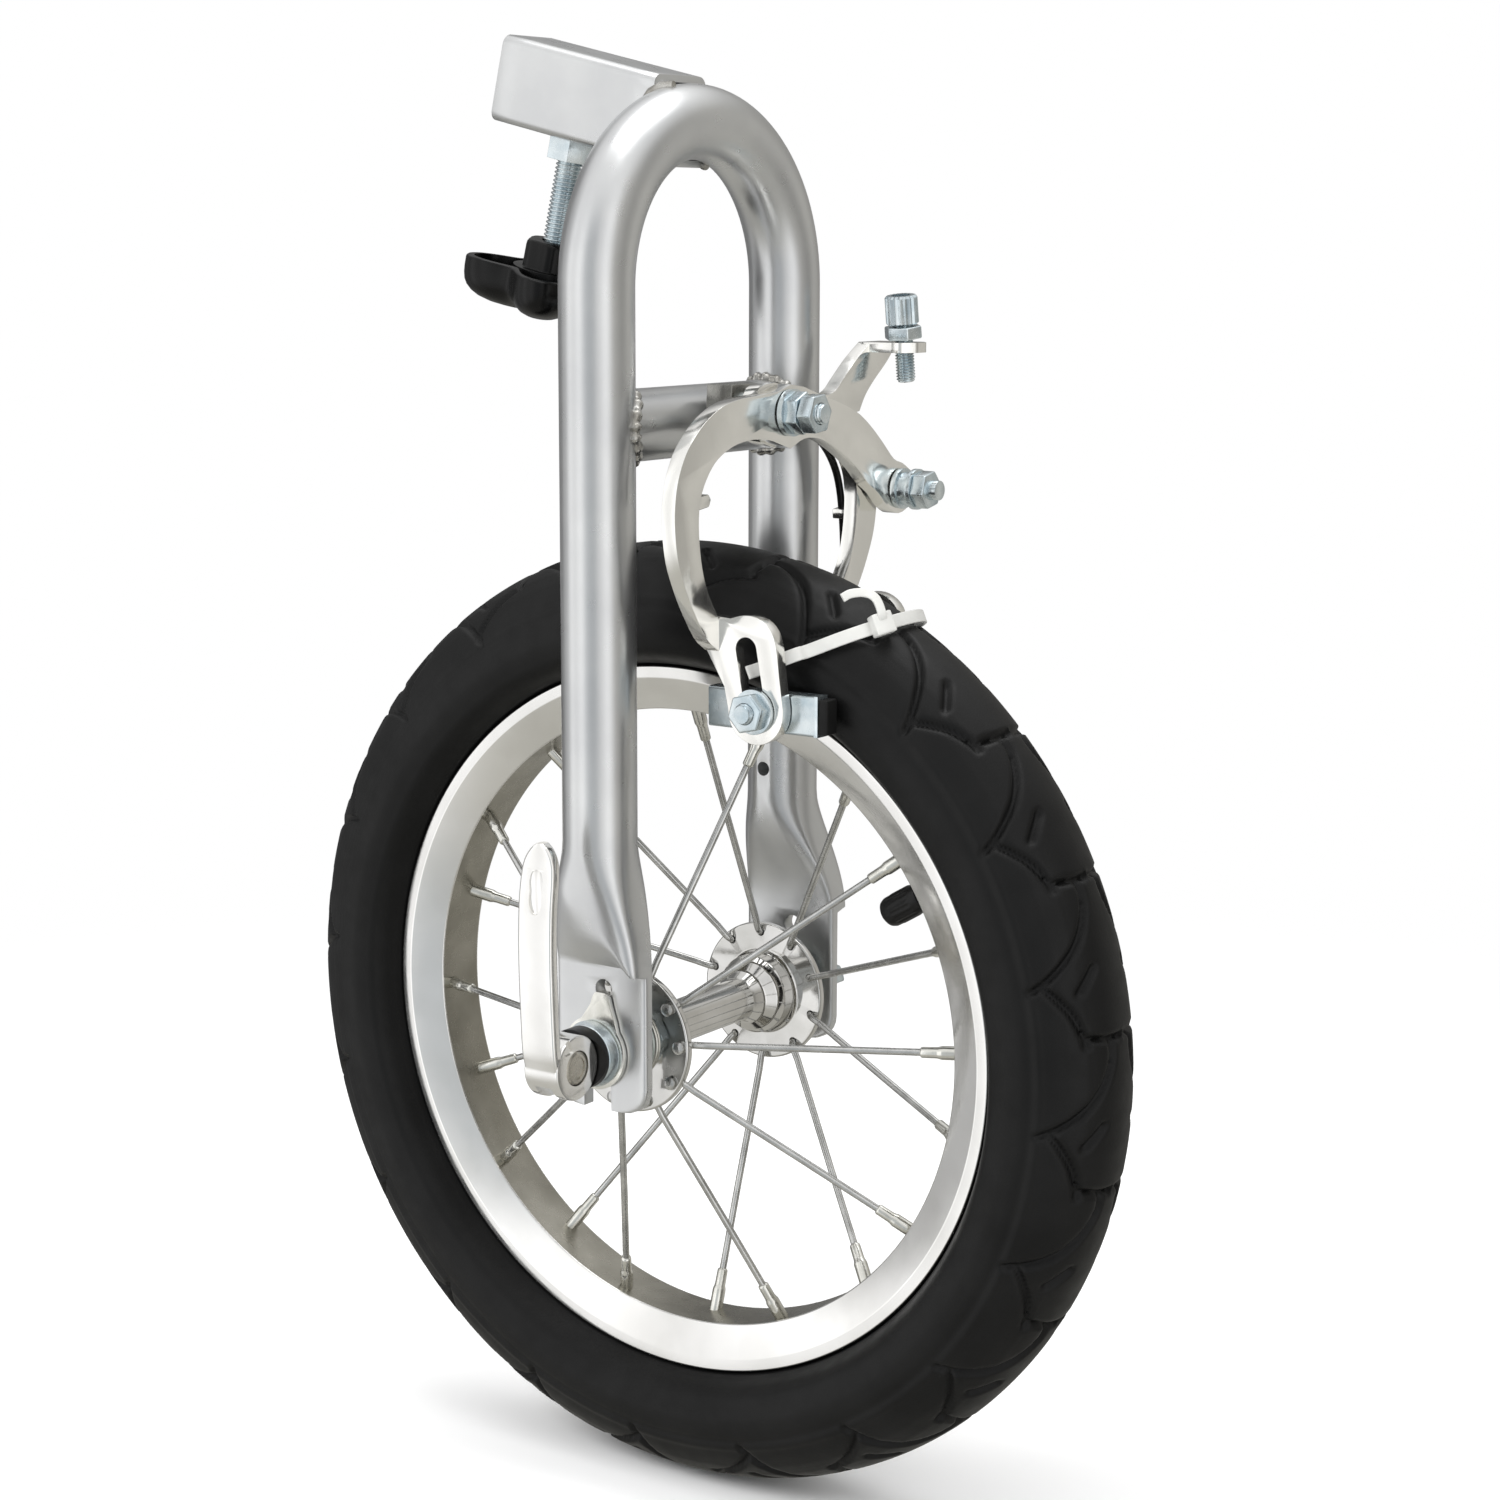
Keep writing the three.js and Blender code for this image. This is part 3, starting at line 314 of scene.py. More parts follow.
def bake(o):
    bpy.context.view_layer.update()
    dg = bpy.context.evaluated_depsgraph_get()
    me = bpy.data.meshes.new_from_object(o.evaluated_get(dg))
    old = o.data
    o.modifiers.clear()
    o.data = me
    bpy.data.meshes.remove(old)
    return o


def boolean(o, g, op="DIFFERENCE"):
    """o cut by, or joined with, another solid."""
    t = make(g) if isinstance(g, Geo) else g
    n0 = len(o.data.polygons)
    for solver in ("MANIFOLD", "EXACT"):
        m = o.modifiers.new("b", "BOOLEAN")
        m.operation, m.object, m.solver = op, t, solver
        bpy.context.view_layer.update()
        dg = bpy.context.evaluated_depsgraph_get()
        me = bpy.data.meshes.new_from_object(o.evaluated_get(dg))
        o.modifiers.clear()
        if len(me.polygons) > 3 and not (op == "DIFFERENCE" and len(me.polygons) == n0 and solver == "MANIFOLD"):
            o.data = me
            break
        bpy.data.meshes.remove(me)
    bpy.data.objects.remove(t)
    return o


def bevel(o, w, seg=3, angle=32):
    m = o.modifiers.new("v", "BEVEL")
    m.width, m.segments, m.limit_method, m.angle_limit = w * 0.001, seg, "ANGLE", rad(angle)
    m.use_clamp_overlap = True
    m.miter_outer = "MITER_ARC"
    return bake(o)


def shade(o, angle=38):
    bm = bmesh.new()
    bm.from_mesh(o.data)
    lim = rad(angle)
    for f in bm.faces:
        f.smooth = True
    for e in bm.edges:
        e.smooth = not (len(e.link_faces) == 2 and e.calc_face_angle(0) > lim)
    bm.to_mesh(o.data)
    bm.free()
    o.data.update()
    return o


def piece(o, name, body, slot, mat, *nodes, angle=38):
    if isinstance(o, Geo):
        o = make(o)
    o.name = name
    o.data.name = name
    shade(o, angle)
    o.data.materials.clear()
    o.data.materials.append(M[mat])
    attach(o, body)
    if nodes:
        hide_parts(*nodes)
    return o


def smooth(t):
    t = min(1.0, max(0.0, t))
    return t * t * (3 - 2 * t)


# ---- fork -----------------------------------------------------------------------------------
def leg_ring(side, z, n=72, low=None):
    f = smooth((62 - z) / 38)
    e = 2 / (2 + 5 * f)
    cx = LEG_X + 2.9 * f
    mid = LEG_Y + 2 * f
    a = low if low is not None else 10.8 + 5.2 * f
    out = []
    for k in range(n):
        t = 2 * PI * (k + 0.5) / n
        c, s = math.cos(t), math.sin(t)
        x = cx + a * math.copysign(abs(c) ** e, c)
        if s > 0:      # outer half: the tube holds its shape down to a slanting crease, then drops to the flat
            zr = 41.0 - 0.95 * x
            g = min(1.0, max(0.0, (zr - z) / max(zr - 26.0, 5.0)))
            fo = min(1.0, 0.30 * f + 0.70 * (g ** 1.5) * (1.0 if z < 62 else 0.0))
            if z <= 24:
                fo = 1.0
            b = 10.8 - 8.6 * fo
        else:
            b = 10.8 - 8.6 * f
        out.append((x, side * (mid + b * math.copysign(abs(s) ** e, s)), z))
    return out


def bend_ring(t, r, n=72):
    out = []
    for k in range(n):
        w = 2 * PI * (k + 0.5) / n
        R = LEG_Y + r * math.sin(w)
        out.append((LEG_X + r * math.cos(w), -R * math.cos(t), BEND_Z + R * math.sin(t)))
    return out


zs = [(-17 + 7.5 * (1 - math.cos(rad(a))), 8.5 + 7.5 * math.sin(rad(a))) for a in (0, 15, 30, 45, 60, 75, 90)]
low = zs + [(z, 16) for z in (-4, 4, 12, 18, 22)] + [(z, None) for z in (24, 25, 26, 27.5, 29, 31, 33, 35, 37, 39, 41, 43, 45, 47, 49, 51, 53, 55, 57, 59, 62, 80, 120, 170)]
rings = [leg_ring(-1, z, 72, w) for z, w in low] + [bend_ring(PI * i / 56, TUBE_R) for i in range(57)] + [leg_ring(1, z, 72, w) for z, w in reversed(low)]
fork = make(loft(rings))
for s in (-1, 1):
    slot = prism([(-4.9, -30), (4.9, -30)] + [(4.9 * math.cos(rad(a)), 4.9 * math.sin(rad(a))) for a in range(0, 181, 12)], 40, 60, lambda a, b, d, s=s: (a, s * d, b))
    boolean(fork, slot)
    boolean(fork, rodY(38 * s, 60 * s, 2.5, 19, 3, 32))
    boolean(fork, rodY(33 * s, 46 * s, LEG_X, 70, 2.2, 24))
fork = bevel(fork, 0.35, 2, 72)
piece(fork, "fork_tube_finish", "fork", "silver_paint", "silver", "fork_tube", angle=34)

cross = make(rodY(-LEG_Y, LEG_Y, LEG_X, CROSS_Z, CROSS_R, 96))
boolean(cross, rodX(-20, 20, 0, PIV_Z, 3.4, 32))
piece(cross, "cross_tube_finish", "fork", "silver_paint", "silver", "cross_tube")


def bead(path, r0, amp, waves):
    n = len(path)
    return wire(path, [r0 + amp * math.sin(2 * PI * waves * i / n) + 0.25 * math.sin(7.3 * i) * amp for i in range(n)], 12, True)


for nm, s in (("near", -1), ("far", 1)):
    path = []
    for i in range(180):
        t = 2 * PI * i / 180
        x, z = (CROSS_R + 0.3) * math.cos(t), (CROSS_R + 0.3) * math.sin(t)
        y = LEG_Y - math.sqrt(max(0.3, (TUBE_R + 0.2) ** 2 - min(x * x, 110)))
        path.append((LEG_X + x, s * y, CROSS_Z + z))
    piece(bead(path, 1.7, 0.35, 22), "weld_cross_" + nm, "fork", "silver_paint", "weld", angle=60)

# boom socket -----------------------------------------------------------------------------------
bt = rad(13.2)
bd, bu, E0 = np.array((math.cos(bt), 0, -math.sin(bt))), np.array((math.sin(bt), 0, math.cos(bt))), np.array((-64.5, 0, 279.0))


def on_boom(s, u, y):
    q = E0 + bd * s + bu * u
    return (q[0], q[1] + y, q[2])


def round_square(h, r, n=6):
    out = []
    for sx, sy, a0 in ((1, 1, 0), (-1, 1, 90), (-1, -1, 180), (1, -1, 270)):
        for k in range(n + 1):
            a = rad(a0 + 90 * k / n)
            out.append((sx * (h - r) + r * math.cos(a), sy * (h - r) + r * math.sin(a)))
    return out


boom_map = lambda a, b, d: on_boom(d, b, a)
boom = make(prism(round_square(12.7, 3), 0, 66, boom_map, 8))
boolean(boom, prism(round_square(10.7, 1.6), -5, 70, boom_map))
boolean(boom, loft([bend_ring(rad(20 + 140 * i / 24), TUBE_R + 0.1) for i in range(25)]))
boolean(boom, prism([(-5, -40), (60, -40), (60, 40), (-5, 40)], -40, 40, lambda a, b, d: (LEG_X + a, d, 265 + b)))
boolean(boom, wire([on_boom(22.3, -8.7, 0), on_boom(22.3, -16.7, 0)], 4.5, 32))
boom = bevel(boom, 0.3, 2, 45)
piece(boom, "boom_tube_finish", "fork", "silver_paint", "silver", "boom_tube")
hits = []
for a, b in catmull(round_square(12.7, 3, 4), 6, True):
    for i in range(700):
        d = i * 0.1
        p = np.array(on_boom(d, b, a))
        q = math.hypot(p[1], p[2] - BEND_Z) - LEG_Y
        if math.hypot(p[0] - LEG_X, q) <= TUBE_R + 0.4:
            hits.append(tuple(p))
            break
        if d > 66:
            break
if len(hits) > 20:
    runs, cur = [], [hits[0]]
    for p in hits[1:]:
        if np.linalg.norm(np.array(p) - np.array(cur[-1])) > 6:
            runs.append(cur)
            cur = []
        cur.append(p)
    runs.append(cur)
    for i, r in enumerate(x for x in runs if len(x) > 8):
        piece(wire(r, [1.25 + 0.3 * math.sin(1.1 * k) for k in range(len(r))], 12), "weld_boom_%d" % (i + 1), "fork", "silver_paint", "weld", angle=60)

# clamp -----------------------------------------------------------------------------------------
on_clamp = lambda a, b, u: on_boom(22.3 + a, u, b)
nut = make(prism(circle(0, 0, 7.5, 6), -19.5, -13.0, on_clamp))
boolean(nut, prism(circle(0, 0, 4.3, 32), -25, -10, on_clamp))
nut = bevel(nut, 0.45, 3)
piece(nut, "clamp_nut_finish", "fork", "zinc", "zinc", "clamp_nut")


def thread(u0, u1, r0, r1, pitch, mp, n=32, per=8):
    rings = []
    m = int(abs(u1 - u0) / pitch * per)
    for i in range(m + 1):
        u = u0 + (u1 - u0) * i / m
        end = min(1.0, min(abs(u - u0), abs(u - u1)) / 0.8)
        ring = []
        for k in range(n):
            ph = (u / pitch - k / n) % 1.0
            tri = 1 - abs(2 * ph - 1)
            r = r0 + (r1 - r0) * smooth(tri * 1.15) * end
            ring.append(mp(r * math.cos(2 * PI * k / n), r * math.sin(2 * PI * k / n), u))
        rings.append(ring)
    return loft(rings)


piece(thread(-9.7, -56, 3.35, 4.0, 1.25, on_clamp), "clamp_screw_thread", "clamp_shaft", "zinc", "zinc", "clamp_screw", angle=55)

LOBE0 = rad(32)


def lobes(inset, n=144, waves=5.2):
    out = []
    for k in range(n):
        t = 2 * PI * k / n
        r = 26 - waves + waves * math.cos(4 * (t - LOBE0)) - inset
        out.append((r * math.cos(t), r * math.sin(t)))
    return out


prof = [(-52.5, 1.2), (-52.62, 0.6), (-53.0, 0.15), (-53.6, 0), (-56, 0), (-58, 0.15), (-60, 0.6), (-61.6, 1.5), (-63, 3.0), (-64.2, 5.2), (-65.1, 8.4), (-65.5, 11.5)]
knob = make(loft([[on_clamp(a, b, u) for a, b in lobes(i)] for u, i in prof]))
tool = make(prism(lobes(2.4), -60.8, -50, on_clamp))
boolean(tool, prism(circle(0, 0, 11.6, 64), -62, -49, on_clamp))
bevel(tool, 0.8, 3, 40)
boolean(knob, tool)
boss = make(loft([[on_clamp(r * (8.7 + 0.35 * math.cos(6 * 2 * PI * k / 96)) / 8.7 * math.cos(2 * PI * k / 96), r * (8.7 + 0.35 * math.cos(6 * 2 * PI * k / 96)) / 8.7 * math.sin(2 * PI * k / 96), u) for k in range(96)]
                  for u, r in ((-44, 7.4), (-44.3, 8.1), (-45, 8.55), (-46, 8.7), (-52, 8.8), (-53.5, 9.2), (-58, 9.6))]))
boolean(knob, boss, "UNION")
boolean(knob, wire([on_clamp(0, 0, -40), on_clamp(0, 0, -56.5)], 4.3, 40))
knob = bevel(knob, 0.5, 3, 40)
piece(knob, "clamp_knob_finish", "clamp_handle", "black_plastic", "knob", "clamp_knob", angle=42)

# ---- tyre -------------------------------------------------------------------------------------
outer = [(0, 144.1), (8, 142.7), (14.6, 138.6), (19.6, 131.8), (22.7, 121.5), (20.6, 113.2), (13.4, 108.9), (10.8, 108.4), (10.6, 104.4), (9.6, 102.4)]
inner_p = [(7.4, 101.9), (7.6, 106.2), (16.6, 114.2), (19.6, 121.5), (16.8, 130.2), (8.6, 138.6), (0, 140.4)]
half = np.array(catmull([(-8, 142.7)] + outer[:7], 24))[24:]
arcs = np.r_[0, np.cumsum(np.hypot(*np.diff(half, axis=0).T))]


def at_s(s):
    return (np.interp(abs(s), arcs, half[:, 0]) * (1 if s >= 0 else -1), np.interp(abs(s), arcs, half[:, 1]))


side_end = arcs[-1]
svals = list(np.linspace(0, 31, 34)) + list(np.linspace(31, side_end, 17))[1:]
outer_line = [at_s(s) for s in svals]
PITCH_N, TIP = 20, 31.4
NT = 960
step_deg = 360.0 / PITCH_N


def groove_field(th, s):
    """Distance in mm from each (angle in degrees from the tip, arc position) to the tread's grooves."""
    arc = catmull([(11.1, -5.5), (8.9, -5.3), (6.2, -8.4), (3.6, -13.7), (1.3, -21.2), (-0.1, -27.4)], 5)
    hook = catmull([(0.4, -24.6), (-1.7, -20.3), (-3.8, -16.8), (-5.9, -14.7), (-7.2, -13.9)], 4)
    branch = [(-6.4, -14.2), (-6.7, -9.5), (-6.9, -5.5), (-6.9, -1.2)]
    slit = [(1.3, -8.3), (-1.1, -14.2)]
    k = 144.1 * PI / 180
    best = np.full(th.shape, 99.0)
    wide = np.full(th.shape, 99.0)
    for line, is_wide in ((arc, 0), (hook, 0), (branch, 0), (slit, 1)):
        L = [np.array((p[0] * k, p[1])) for p in line]
        for shift in (-step_deg * k, 0, step_deg * k):
            for a, b in zip(L[:-1], L[1:]):
                a2, b2 = a + (shift, 0), b + (shift, 0)
                d = b2 - a2
                px, py = th * k - a2[0], s - a2[1]
                t = np.clip((px * d[0] + py * d[1]) / (d @ d), 0, 1)
                dist = np.hypot(px - t * d[0], py - t * d[1])
                if is_wide:
                    wide = np.minimum(wide, dist)
                else:
                    best = np.minimum(best, dist)
    return best, wide


def bell(x, w):
    return np.exp(-(x / w) ** 2)


th = np.arange(NT) * 360.0 / NT
th_rel = ((th - TIP + step_deg / 2) % step_deg) - step_deg / 2
full = [(-s, p) for s, p in zip(svals[:0:-1], outer_line[:0:-1])] + list(zip(svals, outer_line))
sarr = np.array([s for s, _ in full])
parr = np.array([(-p[0] if s < 0 else p[0], p[1]) for s, p in full])
TH, SS = np.meshgrid(th_rel, -np.abs(sarr), indexing="ij")
dmin, dw = groove_field(TH, SS)
depth = 2.0 * np.exp(-(dmin / 1.0) ** 2.6) + 1.7 * np.exp(-(dw / 1.15) ** 3)
A = np.abs(sarr)[None, :]
depth = depth * (A < 29.5)
raised = 0.45 * bell(A - 27.6, 1.0) + 0.18 * bell(A - 19.2, 0.45) + 0.14 * bell(A - 14.3, 0.4) - 0.28 * bell(A - 30.3, 0.7) + 0.30 * bell(A - 37.0, 0.7) + 0.35 * bell(A - 43.5, 0.8)
disp = raised - depth
dy = np.gradient(parr[:, 0])
dr = np.gradient(parr[:, 1])
ln = np.hypot(dy, dr)
ny, nr = -dr / ln, dy / ln            # outward normal of the section
if nr[len(nr) // 2] < 0:
    ny, nr = -ny, -nr
yy = parr[None, :, 0] + ny[None, :] * disp
rr = parr[None, :, 1] + nr[None, :] * disp
tr = np.radians(th)[:, None]
V = np.stack([rr * np.cos(tr), yy, rr * np.sin(tr)], -1)
rest = [(p[1], p[0]) for p in round2d([outer[6]] + outer[7:] + inner_p[:2], 0.5, False, 2)][1:] + [(r, y) for y, r in catmull(inner_p[1:], 2)]
rest_r = [(r, y) for r, y in rest]
mir = [(r, -y) for r, y in rest_r[::-1]][1:]
ring_r = rest_r + mir
RV = np.stack([np.array([[r * math.cos(t), y, r * math.sin(t)] for r, y in ring_r]) for t in np.radians(th)])
ALL = np.concatenate([V, RV], axis=1)
nn = ALL.shape[1]
idx = np.arange(NT * nn).reshape(NT, nn)
a, b = idx, np.roll(idx, -1, 0)
quads = np.stack([a, np.roll(a, -1, 1), np.roll(b, -1, 1), b], -1).reshape(-1, 4)
tyre = make(Geo(ALL.reshape(-1, 3), [tuple(int(i) for i in q) for q in quads]))
piece(tyre, "tyre_tread_and_wall", "wheel", "tyre", "tyre", "tyre", angle=80)

# ---- inner tube with its stem, valve cap -------------------------------------------------------
tube_half = [(0, 102.2), (6.2, 102.6), (6.8, 106.6), (15.4, 114.6), (18.7, 121.5), (15.8, 129.6), (7.8, 137.4), (0, 138.6)]
tp = [(r, y) for y, r in tube_half] + [(r, -y) for y, r in tube_half[1:-1][::-1]]
va = rad(31)
vd, vs = np.array((math.cos(va), 0, math.sin(va))), np.array((-math.sin(va), 0, math.cos(va)))
stem_map = lambda a, b, d: tuple(vd * d + vs * a + np.array((0, b, 0)))


def stem_turn(prof, n=40, lobes_n=0, amp=0.0, ribs=None):
    rings = []
    for d, r in prof:
        q = []
        for k in range(n):
            t = 2 * PI * k / n
            rr_ = r + (amp * math.cos(lobes_n * t) if ribs and ribs[0] < d < ribs[1] else 0)
            q.append(stem_map(rr_ * math.cos(t), rr_ * math.sin(t), d))
        rings.append(q)
    return loft(rings)


g = turn(tp, 96, True).add(stem_turn([(83.8, 2.8), (84.2, 3.3), (86, 3.45), (90, 3.6), (92, 3.9), (93.4, 5.4), (94.4, 6.0), (96.2, 6.0), (97, 3.6), (104, 3.6)]))
piece(g, "inner_tube_with_stem", "wheel", "tube_rubber", "tube", "inner_tube", angle=45)
cap = make(stem_turn([(77.5, 2.2), (77.75, 3.2), (78.4, 4.05), (79.4, 4.45), (80.6, 4.5), (81.2, 4.5), (82, 4.5), (88, 4.5), (88.6, 4.5), (89.2, 4.35), (90.6, 4.3), (91.3, 4.1), (91.5, 3.8)], 96, 16, 0.16, (81.5, 88.2)))
boolean(cap, stem_turn([(81.8, 3.9), (93, 3.9)]))
piece(cap, "valve_cap_finish", "wheel", "black_plastic", "cap", "valve_cap")

# ---- rim ---------------------------------------------------------------------------------------
RI, RIH = 94.6, 8.6
rim_prof = [(108.0, 12.9), (108.0, 11.3), (104.0, 11.2), (RI + 1.7, 7.4), (RI + 1.7, -7.4), (104.0, -11.2), (108.0, -11.3), (108.0, -12.9), (104.5, -12.8), (RI, -RIH), (RI, RIH), (104.5, 12.8)]
rim = make(turn(round2d(rim_prof, [0.6, 0.6, 1.5, 1.5, 1.5, 1.5, 0.6, 0.6, 1.8, 0.7, 0.7, 1.8], True, 5), 288, True))
boolean(rim, stem_turn([(88, 4.1), (99, 4.1)]))
rim = piece(rim, "rim_polished", "wheel", "polished_alloy", "rim", "rim", angle=30)
# the inner bed faces take the darker material: a duller finish plus painted shade
rim.data.materials.append(M["rim_bed"])
for f in rim.data.polygons:
    c = f.center
    if math.hypot(c.x - 0.0645, c.z + 0.279) < 0.0952 and abs(c.y) < 0.0082:
        f.material_index = 1

# ---- spokes ------------------------------------------------------------------------------------
k = 0
for side, phase in ((-1, 2.2), (1, 20.2)):
    for i in range(10):
        k += 1
        a0 = rad(phase + 36 * i)
        u = np.array((math.cos(a0), 0, math.sin(a0)))
        at = lambda r, y: u * r + np.array((0, side * y, 0))
        end = at(95.5, 3)
        d = end - at(20.8, 32.1)
        d = d / np.linalg.norm(d)
        p = lambda q: end + d * q
        elbow = catmull([at(18.7, 36.0), at(18.7, 34.6), at(19.1, 33.2), at(20.8, 32.1), at(24.5, 31.0)], 4)
        pts = [at(18.7, 38.1), at(18.7, 38.0), at(18.7, 37.6), at(18.7, 37.0), at(18.7, 36.5)] + elbow + [p(-40), p(-13.2)]
        rr0 = [0.5, 1.3, 1.9, 1.9, 1.05] + [1.05] * len(elbow) + [1.05, 1.05]
        g = wire(pts, rr0, 14)
        nip = [(-13.4, 1.1), (-13.1, 1.5), (-12.7, 1.62), (-8.6, 1.66), (-8.0, 1.75), (-7.2, 2.0), (-6.8, 2.05), (0.6, 2.05), (1.4, 1.95), (2.4, 2.6), (3.4, 2.7), (3.8, 2.4)]
        g.add(wire([p(q) for q, _ in nip], [r for _, r in nip], 16))
        o = piece(g, "spoke_%02d_finish" % k, "wheel", "spoke_steel", "spoke", "spoke_%02d" % k, angle=40)
        o.data.materials.append(M["nipple"])
        co = np.array([v.co[:] for v in o.data.vertices])
        cut = np.linalg.norm(co - W((0, 0, 0)), axis=1)
        for f in o.data.polygons:
            if np.mean(cut[list(f.vertices)]) > 0.0818:
                f.material_index = 1

# ---- hub ---------------------------------------------------------------------------------------
hh = [(0, 6.5), (20, 6.5), (23.5, 8), (26, 11), (28.2, 12.3), (32.6, 12.3), (33.8, 13.3), (33.8, 21.6), (36.4, 21.6), (36.4, 11.5), (35.9, 9), (35.1, 9), (34.9, 10.3), (28.6, 10.3), (26.8, 7.6), (24.8, 5.3), (0, 5.3)]
hp = [(r, y) for y, r in hh] + [(r, -y) for y, r in hh[1:-1][::-1]]
hr = [0, 4, 2.5, 2.5, 1.5, 1, 0.8, 0.7, 0.7, 0.9, 0.2, 0.2, 0.2, 0.2, 0, 0, 0]
hub = make(turn(round2d(hp, hr + hr[1:-1][::-1], True, 4), 144, True))
for side, phase in ((-1, 2.2), (1, 20.2)):
    for i in range(10):
        a0 = rad(phase + 36 * i)
        hx, hz = 18.7 * math.cos(a0), 18.7 * math.sin(a0)
        boolean(hub, rodY(side * 33, side * 37.2, hx, hz, 1.35, 14))
piece(hub, "hub_shell_chrome", "wheel", "hub_chrome", "chrome", "hub_shell", angle=32)
for nm, s in (("near", -1), ("far", 1)):
    g = turn(round2d([(6.75, s * 30.5), (8.55, s * 30.5), (8.55, s * 32.3), (6.75, s * 32.3)], 0.3), 48, True)
    for i in range(9):
        t = 2 * PI * i / 9
        b = turn([(2.38 * math.sin(rad(q)), -2.38 * math.cos(rad(q))) for q in range(0, 181, 15)], 20)
        g.add(place(b, lambda q, t=t, s=s: q + np.array((7.65 * math.cos(t), s * 31.4, 7.65 * math.sin(t)))))
    piece(g, "ball_ring_%s_finish" % nm, "wheel", "bearing_steel", "ball", "ball_ring_" + nm)
    # pressed dust cap ring on the flange: the bright ring round the cone
    g = turn(round2d([(8.4, s * 35.5), (11.3, s * 36.2), (11.3, s * 37.3), (10.6, s * 37.5), (9.4, s * 37.0), (8.4, s * 36.2)], 0.3), 96, True)
    piece(g, "dust_cap_" + nm, "wheel", "hub_chrome", "nipple", angle=30)

    # bearing cone and locknut ------------------------------------------------------------------
    g = make(turn(round2d([(4.8, s * 34.1), (5.6, s * 34.1), (7.9, s * 35.4), (8, s * 42.2), (4.8, s * 42.2)], [0.1, 0.4, 0.6, 0.4, 0.1]), 72, True))
    lk = make(rodY(s * 41.9, s * 46.4, 0, 0, 8.6, 6, PI / 6))
    boolean(lk, rodY(s * 40, s * 48, 0, 0, 4.8, 40))
    lk = bevel(lk, 0.5, 3)
    piece(g, "cone_%s_finish" % nm, "fork", "zinc", "zinc", "cone_" + nm)
    piece(lk, "cone_locknut_" + nm, "fork", "zinc", "zinc")

    # tabbed retention washer -------------------------------------------------------------------
    ring_o = circle(0, 0, 10.8, 96)
    tab = [(-7.5, 6), (-3.6, 11), (-1.2, 14.5), (-0.4, 16.8), (0.6, 18.3), (4.4, 18.3), (5.4, 16.8), (6.2, 14), (7.6, 10), (8.8, 5)]
    w = make(prism(ring_o, WASH0, WASH_OUT, lambda a, b, d, s=s: (a, s * d, b)))
    boolean(w, prism(round2d(tab, 0.8, True, 3), WASH0, WASH_OUT, lambda a, b, d, s=s: (a, s * d, b)), "UNION")
    boolean(w, rodY(s * 60, s * 45, 0, 0, 3.2, 40))
    w = bevel(w, 0.3, 2, 50)
    piece(w, "retention_washer_%s_finish" % nm, "fork", "zinc", "nipple", "retention_washer_" + nm)
    tongue = bevel(make(prism([(0.9, 16.9), (4.1, 16.9), (4.1, 18.3), (0.9, 18.3)], s * 49.9, s * (WASH0 + 0.4), lambda a, b, d: (a, d, b))), 0.3, 2)
    piece(tongue, "retention_hook_" + nm, "fork", "zinc", "nipple")


ax = make(turn(round2d([(2.9, -50.4), (4.5, -50.4), (4.5, 50.4), (2.9, 50.4)], [0.2, 0.5, 0.5, 0.2]), 48, True))
piece(ax, "axle_finish", "fork", "zinc", "spoke", "axle")

# ---- quick release -----------------------------------------------------------------------------
g = turn(round2d([(3, -CUP0), (9.6, -CUP0), (9.8, -CUP0 - 0.8), (9.3, -CUP1 + 1.3), (8.8, -CUP1), (3, -CUP1)], [0.1, 0.4, 0.4, 0.8, 0.5, 0.1]), 96, True)
piece(g, "qr_cup_washer_finish", "fork", "zinc", "zinc", "qr_cup_washer")
fol = make(turn(round2d([(3, -CUP1 - 0.3), (9.1, -CUP1 - 0.3), (9.1, -CUP1 - 6.2), (3, -CUP1 - 6.2)], [0.1, 0.5, 0.5, 0.1]), 96, True))
boolean(fol, rodX(-12, 12, PIN_Y, 0, 9.7, 96))
piece(fol, "qr_cam_follower_finish", "fork", "black_plastic", "cap", "qr_cam_follower")
g = rodY(PIN_Y + 1, 67.5, 0, 0, 2.5, 32)
piece(g, "qr_skewer_rod", "fork", "zinc", "spoke", "qr_skewer")
g = turn(round2d([(0, -6.05), (4.1, -6.05), (4.9, -5.6), (4.9, 5.6), (4.1, 6.05), (0, 6.05)], [0, 0.5, 0.4, 0.4, 0.5, 0], False), 64)
pinb = place(g, lambda q: np.array((q[1], PIN_Y + q[0], q[2])))
pin = make(pinb)
for sx in (-1, 1):
    boolean(pin, prism(circle(0, 0, 3.3, 40), 5.75, 7, lambda a, b, d, sx=sx: (sx * d, PIN_Y + a, b)))
piece(pin, "qr_pin_barrel", "fork", "zinc", "brass")

head = make(place(turn(round2d([(0, -6), (9.4, -6), (9.4, 6), (0, 6)], 0.6, False), 96), lambda q: np.array((q[1], PIN_Y + q[0], q[2]))))
hp0 = [(-7.3, -1), (-8.0, 2), (-8.8, 6), (-9.4, 16), (-9.9, 28), (-10, 38), (-9.6, 48), (-8.9, 54), (-8.2, 59), (-7.8, 62), (-7.5, 64.5), (-7.4, 66)]
hw = [5.6, 5.9, 6, 6, 6, 6, 6, 5.95, 5.6, 4.7, 3.0, 1.2]
cc = catmull([(a, b, c) for (a, b), c in zip(hp0, hw)], 3)
rings = []
for q in cc:
    w2, t2 = max(0.8, q[2]), 1.75
    sec = round2d([(-w2, -t2), (w2, -t2), (w2, t2), (-w2, t2)], 0.9, True, 3)
    rings.append([(a, PIN_Y + q[0] + b, q[1]) for a, b in sec])
boolean(head, loft(rings), "UNION")
boolean(head, rodX(-8, 8, PIN_Y, 0, 5.15, 64))
sec = [(0, 0)] + [(16 * math.cos(rad(28 - 178 * k / 20)), 16 * math.sin(rad(28 - 178 * k / 20))) for k in range(21)]
